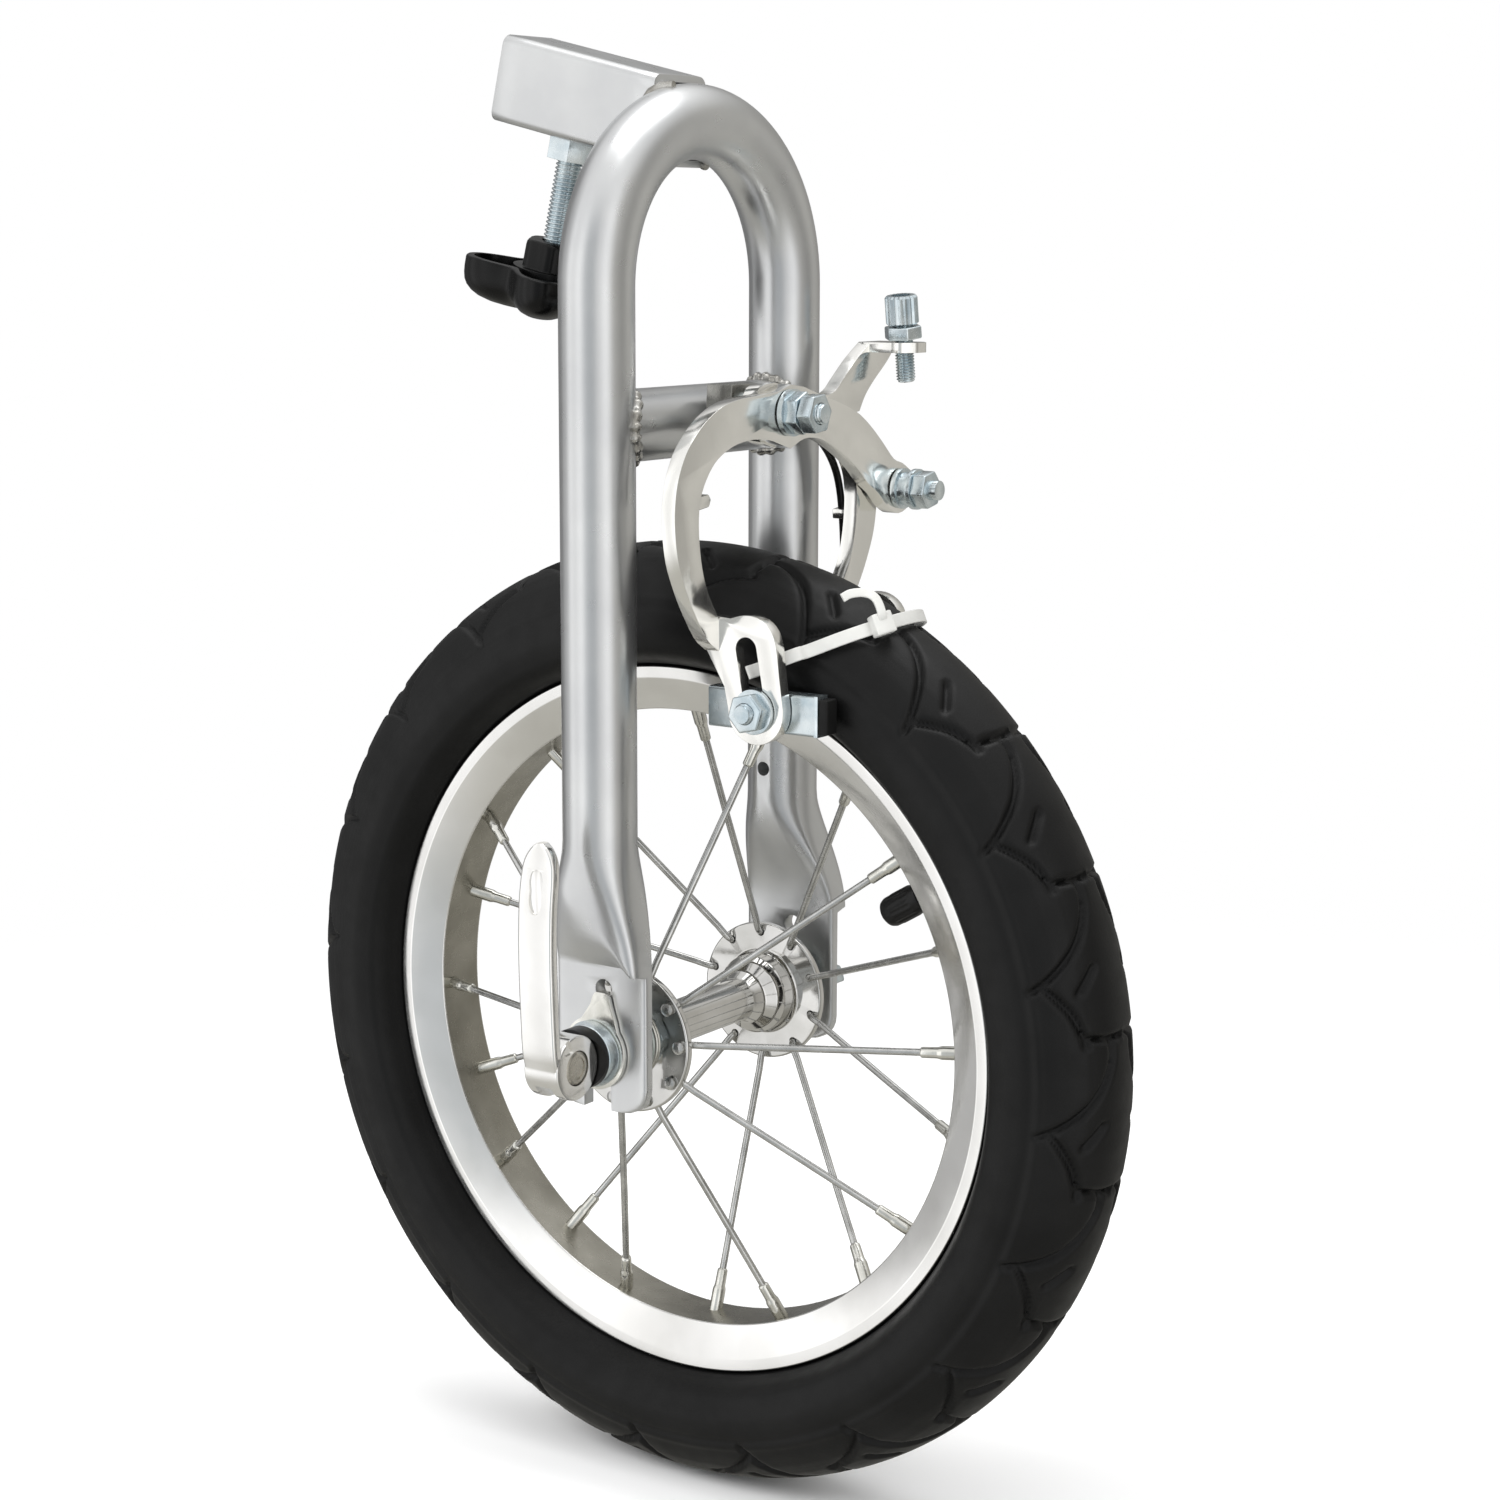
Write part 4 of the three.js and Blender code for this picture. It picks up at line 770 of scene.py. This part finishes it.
boolean(head, prism(sec, -2.9, 2.9, lambda a, b, d: (d, PIN_Y + a, b)))
# generic oval recess near the tip of the handle, and the dimple in the cheek
rec = make(prism([(3.1 * math.cos(t) * (0.72 + 0.28 * abs(math.sin(t))), 52.5 + 6.6 * math.sin(t)) for t in np.linspace(0, 2 * PI, 48, False)], PIN_Y - 13, PIN_Y - 9.9, lambda a, b, d: (a, d, b)))
bevel(rec, 0.5, 2, 40)
boolean(head, rec)
dim = make(prism(round2d([(-7.0, 6.6), (-2.2, 7.0), (-4.6, 12.4)], 0.7, True, 3), 5.4, 8, lambda a, b, d: (d, PIN_Y + a + 0.6, b - 2.2)))
boolean(head, dim)
piece(head, "qr_lever_finish", "qr_handle", "lever_alloy", "lever", "qr_lever", angle=36)

N0 = 53.2
nb = make(turn(round2d([(2.9, N0), (9.4, N0), (9.4, N0 + 3), (7, N0 + 6.5), (6.4, N0 + 14), (2.9, N0 + 14)], [0.1, 0.5, 0.8, 1.5, 0.8, 0.2]), 72, True))
wing = make(prism(round2d([(-10.5, -2.6), (10.5, -2.6), (8.5, 2.6), (-8.5, 2.6)], 1.2), N0 + 6, N0 + 12.5, lambda a, b, d: (a, d, b)))
boolean(wing, rodY(40, 80, 0, 0, 5, 40))
boolean(nb, wing, "UNION")
nb = bevel(nb, 0.3, 2, 50)
piece(nb, "qr_adjusting_nut_finish", "qr_nut", "zinc", "zinc", "qr_adjusting_nut")

# ---- brake -------------------------------------------------------------------------------------
c_outer = [(-5.5, 189.2), (-14, 188.6), (-23.4, 188), (-31, 186.8), (-37.6, 184.4), (-43.6, 180.8), (-49.4, 175.6), (-52.8, 170.6), (-55, 165), (-56, 158), (-55.6, 150.6), (-54.2, 144), (-51.6, 138), (-47.6, 131), (-41, 122), (-35.5, 118)]
c_inner = [(-31.4, 118), (-32.4, 122), (-36.6, 129.4), (-40.6, 135.6), (-43, 142), (-44.3, 149), (-44.6, 156), (-43.6, 161.6), (-41, 166.4), (-36.8, 170.8), (-31.6, 173.6), (-25.6, 175.4), (-18, 176.2), (-10, 175.6), (-4, 174)]
lever_low = [(1, 172.6), (8, 175), (15, 174.8), (21.5, 172.8), (29.6, 169), (36.8, 164.6), (42.8, 159.8), (49, 156.2), (54.6, 151.6), (60.5, 149.4), (66.6, 151.4), (69.4, 156.6)]
lever_high = [(67.6, 162), (62.6, 164.6), (57.6, 166.2), (51.3, 171.4), (44, 177), (36, 181.6), (26, 185), (16, 187.6), (8, 190)]


def outline(*runs):
    out = []
    for r in runs:
        out += [tuple(p) for p in catmull(r, 3)] if len(r) > 2 else list(r)
    return out


def arm_tab(x0, s):
    o = [(x0, 128), (x0, 118.4), (33.4, 108), (34.8, 101.5)] + [(BOLT_X + 9.3 * math.cos(rad(180 + 180 * q / 18)), 101.6 + 9.3 * math.sin(rad(180 + 180 * q / 18))) for q in range(1, 19)]
    o += catmull([(53.3, 103), (52, 112), (50.8, 121), (48.6, 125.6), (44.5, 128.2), (40, 128.6), (35.5, 127.4)], 3)
    t = make(prism(o, s * (TAB_Y - TAB_T), s * TAB_Y, lambda a, b, d: (a, d, b)))
    bx0, bz0, bx1, bz1 = BOLT_X, 101.8, 40.8, 119
    d = math.atan2(bz1 - bz0, bx1 - bx0)
    so = [(bx1 + 3.5 * math.cos(d - PI / 2 + PI * q / 16), bz1 + 3.5 * math.sin(d - PI / 2 + PI * q / 16)) for q in range(17)]
    so += [(bx0 + 3.5 * math.cos(d + PI / 2 + PI * q / 16), bz0 + 3.5 * math.sin(d + PI / 2 + PI * q / 16)) for q in range(17)]
    return t, prism(so, s * 25, s * 40, lambda a, b, d: (a, d, b))


yz = lambda a, b, d: (d, a, b)
arm = make(prism(outline(c_outer, c_inner, lever_low, lever_high, [(1, 191)]), FRONT_X - ARM_T, FRONT_X, yz))
boolean(arm, rodX(20, 40, 0, PIV_Z, 3.4, 40))
boolean(arm, rodX(20, 40, 61, 157, 3.4, 40))
t, so = arm_tab(FRONT_X - ARM_T, -1)
boolean(arm, t, "UNION")
boolean(arm, so)
arm = bevel(arm, 0.75, 3, 38)
piece(arm, "brake_arm_front_finish", "front_arm", "arm_alloy", "arm", "brake_arm_front", angle=36)
lugs = {"near": [(-46.5, 161.4), (-38.4, 162.2), (-37.2, 160.6), (-38.2, 158.6), (-46.0, 157.6)], "far": [(32.3, 149.7), (50.9, 152.1), (51.6, 149.7), (35.2, 146.4)]}
lg = bevel(make(prism(lugs["near"], 27.4, 30.6, yz)), 0.4, 2)
piece(lg, "spring_lug_near", "front_arm", "arm_alloy", "arm")

my = lambda l: [(-a, b) for a, b in l]
up_high = [(10, 189.4), (20, 187.8), (27, 186.6), (32, 187.6), (36.5, 191), (42.5, 195.6), (48.4, 199.4), (52, 201.4)]
up_low = [(64, 201.4), (64, 198.4), (60, 194.6), (54, 190.2), (49, 185.8), (45.6, 181)]
rear = make(prism(outline(my(c_outer)[5:], my(c_inner), [(0, 172.6), (-8.5, 175.6), (-11, 183), (-8, 190), (0, 191.4)], up_high, up_low), REAR_X - ARM_T, REAR_X, yz))
boolean(rear, rodX(10, 40, 0, PIV_Z, 3.4, 40))
t, so = arm_tab(REAR_X - ARM_T, 1)
boolean(rear, t, "UNION")
boolean(rear, so)
lug = [(22.1, 51), (34.6, 50.6), (37.5, 51.0), (40.9, 55.2), (40.9, 60.4), (37.5, 64.6), (28.6, 64.4), (22.1, 64)]
lo = make(prism(round2d(lug, 2.2, True, 4), 198.4, 201.4, lambda a, b, d: (a, b, d)))
boolean(rear, lo, "UNION")
boolean(rear, prism(circle(34.5, 57.8, 3.4, 40), 190, 210, lambda a, b, d: (a, b, d)))
rear = bevel(rear, 0.75, 3, 38)
piece(rear, "brake_arm_rear_finish", "rear_arm", "arm_alloy", "arm", "brake_arm_rear", angle=36)
lg = bevel(make(prism([(44.4, 151.2), (50.9, 152.1), (51.6, 149.7), (44.6, 148.2)], 17.8, REAR_X - ARM_T + 0.4, yz)), 0.4, 2)
piece(lg, "spring_lug_far", "rear_arm", "arm_alloy", "arm")


def dome(mp, h0, h1, r, tip=0.6):
    """Rounded acorn cap from height h0 to h1."""
    n = 10
    pr = [(r, h0)] + [(r * math.cos(PI / 2 * q / n) ** 0.8, h0 + tip + (h1 - h0 - tip) * math.sin(PI / 2 * q / n)) for q in range(n)] + [(0, h1)]
    return place(turn(pr, 48), mp)


def to_x(x0, y, z):
    return lambda q: np.array((x0 + q[1], y + q[0], z + q[2]))


for nm, s, ax_, body in (("near", -1, FRONT_X, "front_arm"), ("far", 1, REAR_X, "rear_arm")):
    y0 = 30.7
    sy = lambda v, s=s: s * v
    outer_s = [(y0, 95.4), (y0, 107.0), (y0 - 5.2, 107.0), (y0 - 5.2, 105.8), (y0 - 1.2, 105.8), (y0 - 1.2, 96.6), (y0 - 5.2, 96.6), (y0 - 5.2, 95.4)]
    sec = round2d(outer_s, [0.9, 0.9, 0.2, 0.2, 0.4, 0.4, 0.2, 0.2], True, 3)
    h = make(prism([(sy(a), b) for a, b in sec], 25, 62, lambda a, b, d: (d, a, b)))
    boolean(h, prism([(sy(y0), 95.4), (sy(y0), 107), (sy(y0 - 5.2), 107), (sy(y0 - 5.2), 95.4)], 60.8, 62.0, lambda a, b, d: (d, a, b)), "UNION")
    h = bevel(h, 0.25, 2, 50)
    piece(h, "shoe_holder_%s_finish" % nm, body, "zinc", "zinc", "shoe_holder_" + nm)
    st = thread(y0 - 0.6, TAB_Y + 7, 2.5, 3.0, 0.9, lambda a, b, d, s=s: (BOLT_X + a, s * d, 101.8 + b), 24, 6)
    piece(st, "shoe_stud_" + nm, body, "zinc", "zinc")
    pad = make(prism(round2d([(sy(y0 - 1.5), 96.9), (sy(y0 - 1.5), 105.5), (sy(y0 - 6.4), 105.2), (sy(y0 - 6.4), 97.2)], 0.5, True, 3), 25.5, 60.5, lambda a, b, d: (d, a, b), 1))
    for gx in (33, 40, 47, 54):
        boolean(pad, prism([(gx - 0.6, 90), (gx + 0.6, 90), (gx + 0.6, 110), (gx - 0.6, 110)], sy(y0 - 7), sy(y0 - 5.3), lambda a, b, d: (a, d, b)))
    pad = bevel(pad, 0.25, 2, 50)
    piece(pad, "brake_pad_%s_finish" % nm, body, "pad_rubber", "pad", "brake_pad_" + nm)
    lip = bevel(make(prism([(sy(y0 - 0.2), 96.2), (sy(y0 - 0.2), 106.2), (sy(y0 - 5.6), 106.2), (sy(y0 - 5.6), 96.2)], 62.05, 65, lambda a, b, d: (d, a, b))), 0.6, 3)
    piece(lip, "brake_pad_end_" + nm, body, "pad_rubber", "pad")
    tt = TAB_Y + 0.3
    wsh = make(rodY(s * tt, s * (tt + 1.3), BOLT_X, 101.8, 6.4, 64))
    boolean(wsh, rodY(s * (tt - 1), s * (tt + 3), BOLT_X, 101.8, 3.2, 32))
    wsh = bevel(wsh, 0.3, 2, 50)
    piece(wsh, "shoe_washer_" + nm, body, "zinc", "zinc")
    hx = make(rodY(s * (tt + 1.3), s * (tt + 5.2), BOLT_X, 101.8, 5.9, 6, 0.3))
    bevel(hx, 0.5, 3)
    boolean(hx, dome(lambda q, s=s, tt=tt: np.array((BOLT_X + q[0], s * q[1], 101.8 + q[2])), tt + 4.6, tt + 10.2, 4.3, 1.4), "UNION")
    boolean(hx, rodY(s * (tt - 1), s * 42.3, BOLT_X, 101.8, 3.15, 32))
    piece(hx, "shoe_nut_%s_finish" % nm, body, "zinc", "zinc", "shoe_nut_" + nm)

mpx = lambda a, b, d: (d, a, PIV_Z + b)
piece(thread(-13, FRONT_X + 12.5, 2.6, 3.0, 1.0, mpx, 24, 6), "brake_pivot_bolt_thread", "fork", "zinc", "zinc", "brake_pivot_bolt")
bn = bevel(make(rodX(-17.4, -12.4, 0, PIV_Z, 5.8, 6, 0.3)), 0.5, 3)
piece(bn, "brake_bolt_nut_rear", "fork", "zinc", "zinc")
sb = make(prism([(-9, 174.6), (9, 174.6), (10, 180), (9, 190.8), (-9, 190.8), (-10, 180)], 9.1, 17.9, yz))
boolean(sb, rodX(0, 30, 0, PIV_Z, 3.4, 40))
sb = bevel(sb, 0.8, 3)
piece(sb, "brake_seat_block_finish", "fork", "bearing_steel", "seat", "brake_seat_block")
sw = make(rodX(18.0, 21.9, 0, PIV_Z, 5.6, 40))
boolean(sw, rodX(10, 30, 0, PIV_Z, 3.4, 40))
piece(bevel(sw, 0.3, 2, 50), "brake_spacer_washer", "fork", "zinc", "zinc")
spring = [(-37.6, 157.6), (-35.6, 165), (-30, 171), (-22, 175), (-12, 177), (0, 177.2), (12, 177.2), (24, 176), (34, 172.5), (41, 166), (45, 158), (47.2, 146), (48, 132)]
piece(wire(catmull([(20, a, b) for a, b in spring], 6), 1.15, 16), "brake_spring_wire", "fork", "black_wire", "wire", "brake_spring")

F = FRONT_X + 0.3
ln_ = make(rodX(F + 1.3, F + 5.6, 0, PIV_Z, 6.3, 6, 0.42))
bevel(ln_, 0.5, 3)
boolean(ln_, rodX(F, F + 1.6, 0, PIV_Z, 6.8, 64), "UNION")
boolean(ln_, rodX(F - 2, F + 8, 0, PIV_Z, 3.3, 40))
piece(ln_, "brake_lock_nut_finish", "fork", "zinc", "zinc", "brake_lock_nut")
ac = make(rodX(F + 5.9, F + 10.6, 0, PIV_Z, 6.1, 6, 0.1))
bevel(ac, 0.5, 3)
boolean(ac, dome(to_x(0, 0, PIV_Z), F + 9.8, F + 16.3, 4.8, 1.4), "UNION")
boolean(ac, rodX(F + 4, F + 13, 0, PIV_Z, 3.2, 40))
piece(ac, "brake_acorn_nut_finish", "fork", "zinc", "zinc", "brake_acorn_nut")

A0, ay, az = FRONT_X + 0.3, 61, 157
an = make(rodX(FRONT_X - ARM_T - 3.2, FRONT_X - ARM_T - 0.3, ay, az, 4.1, 40))
for g in (rodX(FRONT_X - ARM_T - 1, A0 + 14, ay, az, 3, 32), rodX(A0, A0 + 1.6, ay, az, 6.2, 56), rodX(A0 + 1.4, A0 + 5.2, ay, az, 5, 48), rodX(A0 + 5, A0 + 6.6, ay, az, 6.2, 56)):
    boolean(an, g, "UNION")
bevel(an, 0.3, 2, 50)
hx = bevel(make(rodX(A0 + 6.7, A0 + 11.2, ay, az, 6.0, 6, 0.2)), 0.5, 3)
boolean(an, hx, "UNION")
boolean(an, dome(to_x(0, ay, az), A0 + 10.8, A0 + 19, 4.6, 3.0), "UNION")
piece(an, "anchor_bolt_finish", "front_arm", "zinc", "zinc", "anchor_bolt", angle=34)

# barrel adjuster --------------------------------------------------------------------------------
at_ = rad(8)
ad, AP = np.array((0, -math.sin(at_), math.cos(at_))), np.array((34.5, 57.8, 201.0))


def along(u, v, d):
    q = AP + ad * d
    return (q[0] + u, q[1] + v * math.cos(at_), q[2] + v * math.sin(at_))


adj = make(thread(-11.5, 7, 2.35, 2.9, 0.9, along, 32, 6))
knurl = [((4.55 + 0.42 * (1 - abs(2 * ((q * 20 / 240) % 1) - 1))) * math.cos(2 * PI * q / 240), (4.55 + 0.42 * (1 - abs(2 * ((q * 20 / 240) % 1) - 1))) * math.sin(2 * PI * q / 240)) for q in range(240)]
kn = loft([[along(a * f, b * f, d) for a, b in knurl] for d, f in ((5.8, 0.86), (6.3, 1.0), (9.2, 1.0), (13.9, 1.0), (14.6, 0.88))])
boolean(adj, kn, "UNION")
boolean(adj, prism(circle(0, 0, 1.3, 24), -12, 16, along))
boolean(adj, prism(circle(0, 0, 2.9, 32), 12.4, 16, along))
piece(adj, "barrel_adjuster_finish", "adjuster", "zinc", "zinc", "barrel_adjuster", angle=30)
al = bevel(make(prism(circle(0, 0, 5.9, 6, 0.25), 1.5, 5.3, along)), 0.5, 3)
boolean(al, prism(circle(0, 0, 3.1, 32), -3, 9, along))
piece(al, "adjuster_locknut_finish", "rear_arm", "zinc", "zinc", "adjuster_locknut")

# cable tie --------------------------------------------------------------------------------------
cen = np.array((42.0, 0, 113.0))
su = np.array((math.cos(rad(24)), 0, math.sin(rad(24))))
tie_at = lambda u, y: cen + su * u + np.array((0, y, 0))


def tread_u(y, off):
    R = 121.4 + math.sqrt((22.7 + off) ** 2 - y * y)
    b = cen[0] * su[0] + cen[2] * su[2]
    c = cen[0] ** 2 + cen[2] ** 2 - R * R
    return -b + math.sqrt(b * b - c)


hp_ = [(-1.6, -33.6), (-0.4, -31.6), (2.2, -30.1), (6.0, -29.8), (9.6, -28.9), (12.4, -27.1)]
far_ = [(-1.2, 28.3), (0.4, 28.2), (2.6, 28.1), (6.0, 28.0), (9.6, 27.7), (12.4, 26.7)]
ys_ = [-23.8, -20.5, -17, -12, -6, 0, 6, 12, 17, 20.5, 23.8]
path = [tie_at(u, y) for u, y in hp_] + [tie_at(tread_u(y, 2.7), y) for y in ys_] + [tie_at(u, y) for u, y in far_[::-1]]
path = catmull(path, 6)
sn = np.array((-su[2], 0, su[0]))
rings = []
for i, p in enumerate(path):
    t = path[min(i + 1, len(path) - 1)] - path[max(0, i - 1)]
    t = t / np.linalg.norm(t)
    n3 = np.cross(t, sn)
    n3 = n3 / np.linalg.norm(n3)
    rings.append([tuple(p + sn * a + n3 * b) for a, b in round2d([(-1.9, -0.6), (1.9, -0.6), (1.9, 0.6), (-1.9, 0.6)], 0.35, True, 3)])
tie = make(loft(rings))
hc = tie_at(tread_u(-12, 2.7) + 1.2, -12.6)
hd = tie_at(tread_u(-9, 2.7), -9) - tie_at(tread_u(-16, 2.7), -16)
hd = hd / np.linalg.norm(hd)
hn = np.cross(hd, sn)
hn = hn / np.linalg.norm(hn)
if hn[0] < 0:
    hn = -hn
hb = make(loft([[tuple(hc + hd * k + sn * a + hn * (b + 0.9)) for a, b in round2d([(-3.1, -2.3), (3.1, -2.3), (3.1, 2.3), (-3.1, 2.3)], 0.6, True, 3)] for k in (-3, 3)]))
bevel(hb, 0.5, 3, 50)
boolean(tie, hb, "UNION")
piece(tie, "cable_tie_strap", "front_arm", "nylon", "nylon", "cable_tie")
tail = catmull([hc + hn * 1.5, hc + hn * 3.4 + sn * 2.2, hc + hn * 3.0 + sn * 7.0, hc + hn * 2.4 + sn * 9.6 - hd * 2.2, hc + hn * 2.2 + sn * 10.6 - hd * 6.2, hc + hn * 2.0 + sn * 10.2 - hd * 9.0], 6)
rings = []
for i, p in enumerate(tail):
    t = tail[min(i + 1, len(tail) - 1)] - tail[max(0, i - 1)]
    t = t / np.linalg.norm(t)
    b3 = np.cross(t, hn)
    b3 = b3 / np.linalg.norm(b3)
    n3 = np.cross(b3, t)
    rings.append([tuple(p + b3 * a + n3 * b) for a, b in round2d([(-1.25, -0.5), (1.25, -0.5), (1.25, 0.5), (-1.25, 0.5)], 0.3, True, 3)])
piece(loft(rings), "cable_tie_tail", "front_arm", "nylon", "nylon")

# ---- stage -------------------------------------------------------------------------------------
fz = (-144.6 - 279.0) * 0.001
me = bpy.data.meshes.new("floor")
bm = bmesh.new()
bmesh.ops.create_circle(bm, cap_ends=True, radius=1.3, segments=96)
bm.to_mesh(me)
bm.free()
floor = bpy.data.objects.new("floor", me)
floor.location = (0.0645, 0, fz)
bpy.context.scene.collection.objects.link(floor)
fm = bpy.data.materials.new("pale_floor")
fm.use_nodes = True
nt = fm.node_tree
pb = nt.nodes["Principled BSDF"]
pb.inputs["Base Color"].default_value = (0.93, 0.93, 0.93, 1)
pb.inputs["Roughness"].default_value = 0.9
pb.inputs["Specular IOR Level"].default_value = 0.1
tc = nt.nodes.new("ShaderNodeTexCoord")
ln2 = nt.nodes.new("ShaderNodeVectorMath")
ln2.operation = "LENGTH"
nt.links.new(tc.outputs["Object"], ln2.inputs[0])
mr = nt.nodes.new("ShaderNodeMapRange")
mr.inputs["From Min"].default_value, mr.inputs["From Max"].default_value = 0.25, 0.8
mr.inputs["To Min"].default_value, mr.inputs["To Max"].default_value = 1, 0
mr.interpolation_type = "SMOOTHSTEP"
nt.links.new(ln2.outputs["Value"], mr.inputs[0])
nt.links.new(mr.outputs[0], pb.inputs["Alpha"])
floor.data.materials.append(fm)
floor.visible_glossy = False

# soft studio surroundings: brightness varies round the horizon, as big panels and gaps between them do
wd = bpy.data.worlds.new("studio")
bpy.context.scene.world = wd
wd.use_nodes = True
nt = wd.node_tree
nt.nodes.clear()
N, L = nt.nodes.new, nt.links.new
wo, bg, bgw, mix, lp = N("ShaderNodeOutputWorld"), N("ShaderNodeBackground"), N("ShaderNodeBackground"), N("ShaderNodeMixShader"), N("ShaderNodeLightPath")
tc, sx, at2 = N("ShaderNodeTexCoord"), N("ShaderNodeSeparateXYZ"), N("ShaderNodeMath")
L(tc.outputs["Generated"], sx.inputs[0])
at2.operation = "ARCTAN2"
L(sx.outputs["Y"], at2.inputs[0])
L(sx.outputs["X"], at2.inputs[1])
mr = N("ShaderNodeMapRange")
mr.inputs["From Min"].default_value, mr.inputs["From Max"].default_value = -PI, PI
L(at2.outputs[0], mr.inputs[0])
ramp = N("ShaderNodeValToRGB")
ramp.color_ramp.interpolation = "EASE"
cam_az = math.degrees(math.atan2(-0.812, 0.557))
# angle from the camera's side (left is negative), brightness, warm tint
bands = [(-170, .22, 0), (-128, .20, 0), (-106, .5, 0), (-88, 1.3, 0), (-70, 1.02, 0), (-52, 1.4, 0), (-28, .62, -1), (-10, .55, -1), (8, .95, 0), (30, 1.4, 0), (58, .48, 1), (84, .32, 1), (112, .55, 1), (150, .35, 1)]
els = []
for rel, v, w_ in bands:
    # turning left of the camera is clockwise seen from above for a viewer looking back at the camera
    az = (cam_az + rel + 540) % 360 - 180
    els.append(((az + 180) / 360, v, w_))
els.sort()
cr = ramp.color_ramp
first = els[0]
tint = {0: (1, 1, 1), 1: (1.0, 0.975, 0.91), -1: (0.93, 0.97, 1.0)}
while len(cr.elements) > 1:
    cr.elements.remove(cr.elements[-1])
cr.elements[0].position = first[0]
cr.elements[0].color = tuple(first[1] * c for c in tint[first[2]]) + (1,)
for pos, v, w_ in els[1:]:
    e = cr.elements.new(pos)
    e.color = tuple(v * c for c in tint[w_]) + (1,)
L(mr.outputs[0], ramp.inputs[0])
# overhead is bright and even
up = N("ShaderNodeMapRange")
up.interpolation_type = "SMOOTHSTEP"
up.inputs["From Min"].default_value, up.inputs["From Max"].default_value = 0.35, 0.8
L(sx.outputs["Z"], up.inputs[0])
mc = N("ShaderNodeMix")
mc.data_type = "RGBA"
L(up.outputs[0], mc.inputs[0])
L(ramp.outputs[0], mc.inputs[6])
mc.inputs[7].default_value = (1.0, 1.0, 1.0, 1)
# the ground is darker than the panels
dn = N("ShaderNodeMapRange")
dn.interpolation_type = "SMOOTHSTEP"
dn.inputs["From Min"].default_value, dn.inputs["From Max"].default_value = -0.28, -0.7
L(sx.outputs["Z"], dn.inputs[0])
md = N("ShaderNodeMix")
md.data_type = "RGBA"
L(dn.outputs[0], md.inputs[0])
L(mc.outputs[2], md.inputs[6])
md.inputs[7].default_value = (0.50, 0.49, 0.45, 1)
L(md.outputs[2], bg.inputs[0])
bg.inputs[1].default_value = 1.0
bgw.inputs[0].default_value, bgw.inputs[1].default_value = (1, 1, 1, 1), 1.0
L(lp.outputs["Is Camera Ray"], mix.inputs[0])
L(bg.outputs[0], mix.inputs[1])
L(bgw.outputs[0], mix.inputs[2])
L(mix.outputs[0], wo.inputs[0])


def area(name, loc, target, size, power, color=(1, 1, 1)):
    d = bpy.data.lights.new(name, "AREA")
    d.shape, d.size, d.size_y, d.energy, d.color = "RECTANGLE", size[0], size[1], power, color
    o = bpy.data.objects.new(name, d)
    bpy.context.scene.collection.objects.link(o)
    o.location = loc
    o.rotation_mode = "QUATERNION"
    o.rotation_quaternion = (Vector(target) - Vector(loc)).to_track_quat("-Z", "Y")
    return o


lights = [area("key_softbox", (-0.9, -1.5, 1.1), (0.06, 0, -0.2), (1.0, 1.2), 26),
          area("fill_softbox", (1.7, -0.5, 0.7), (0.06, 0, -0.2), (0.8, 1.0), 10),
          area("top_softbox", (0.1, 0.3, 1.8), (0.06, 0, -0.2), (1.6, 1.6), 16)]
for o in lights[:2]:
    o.visible_glossy = False

bpy.context.scene.view_settings.view_transform = "Standard"
bpy.context.scene.view_settings.look = "None"
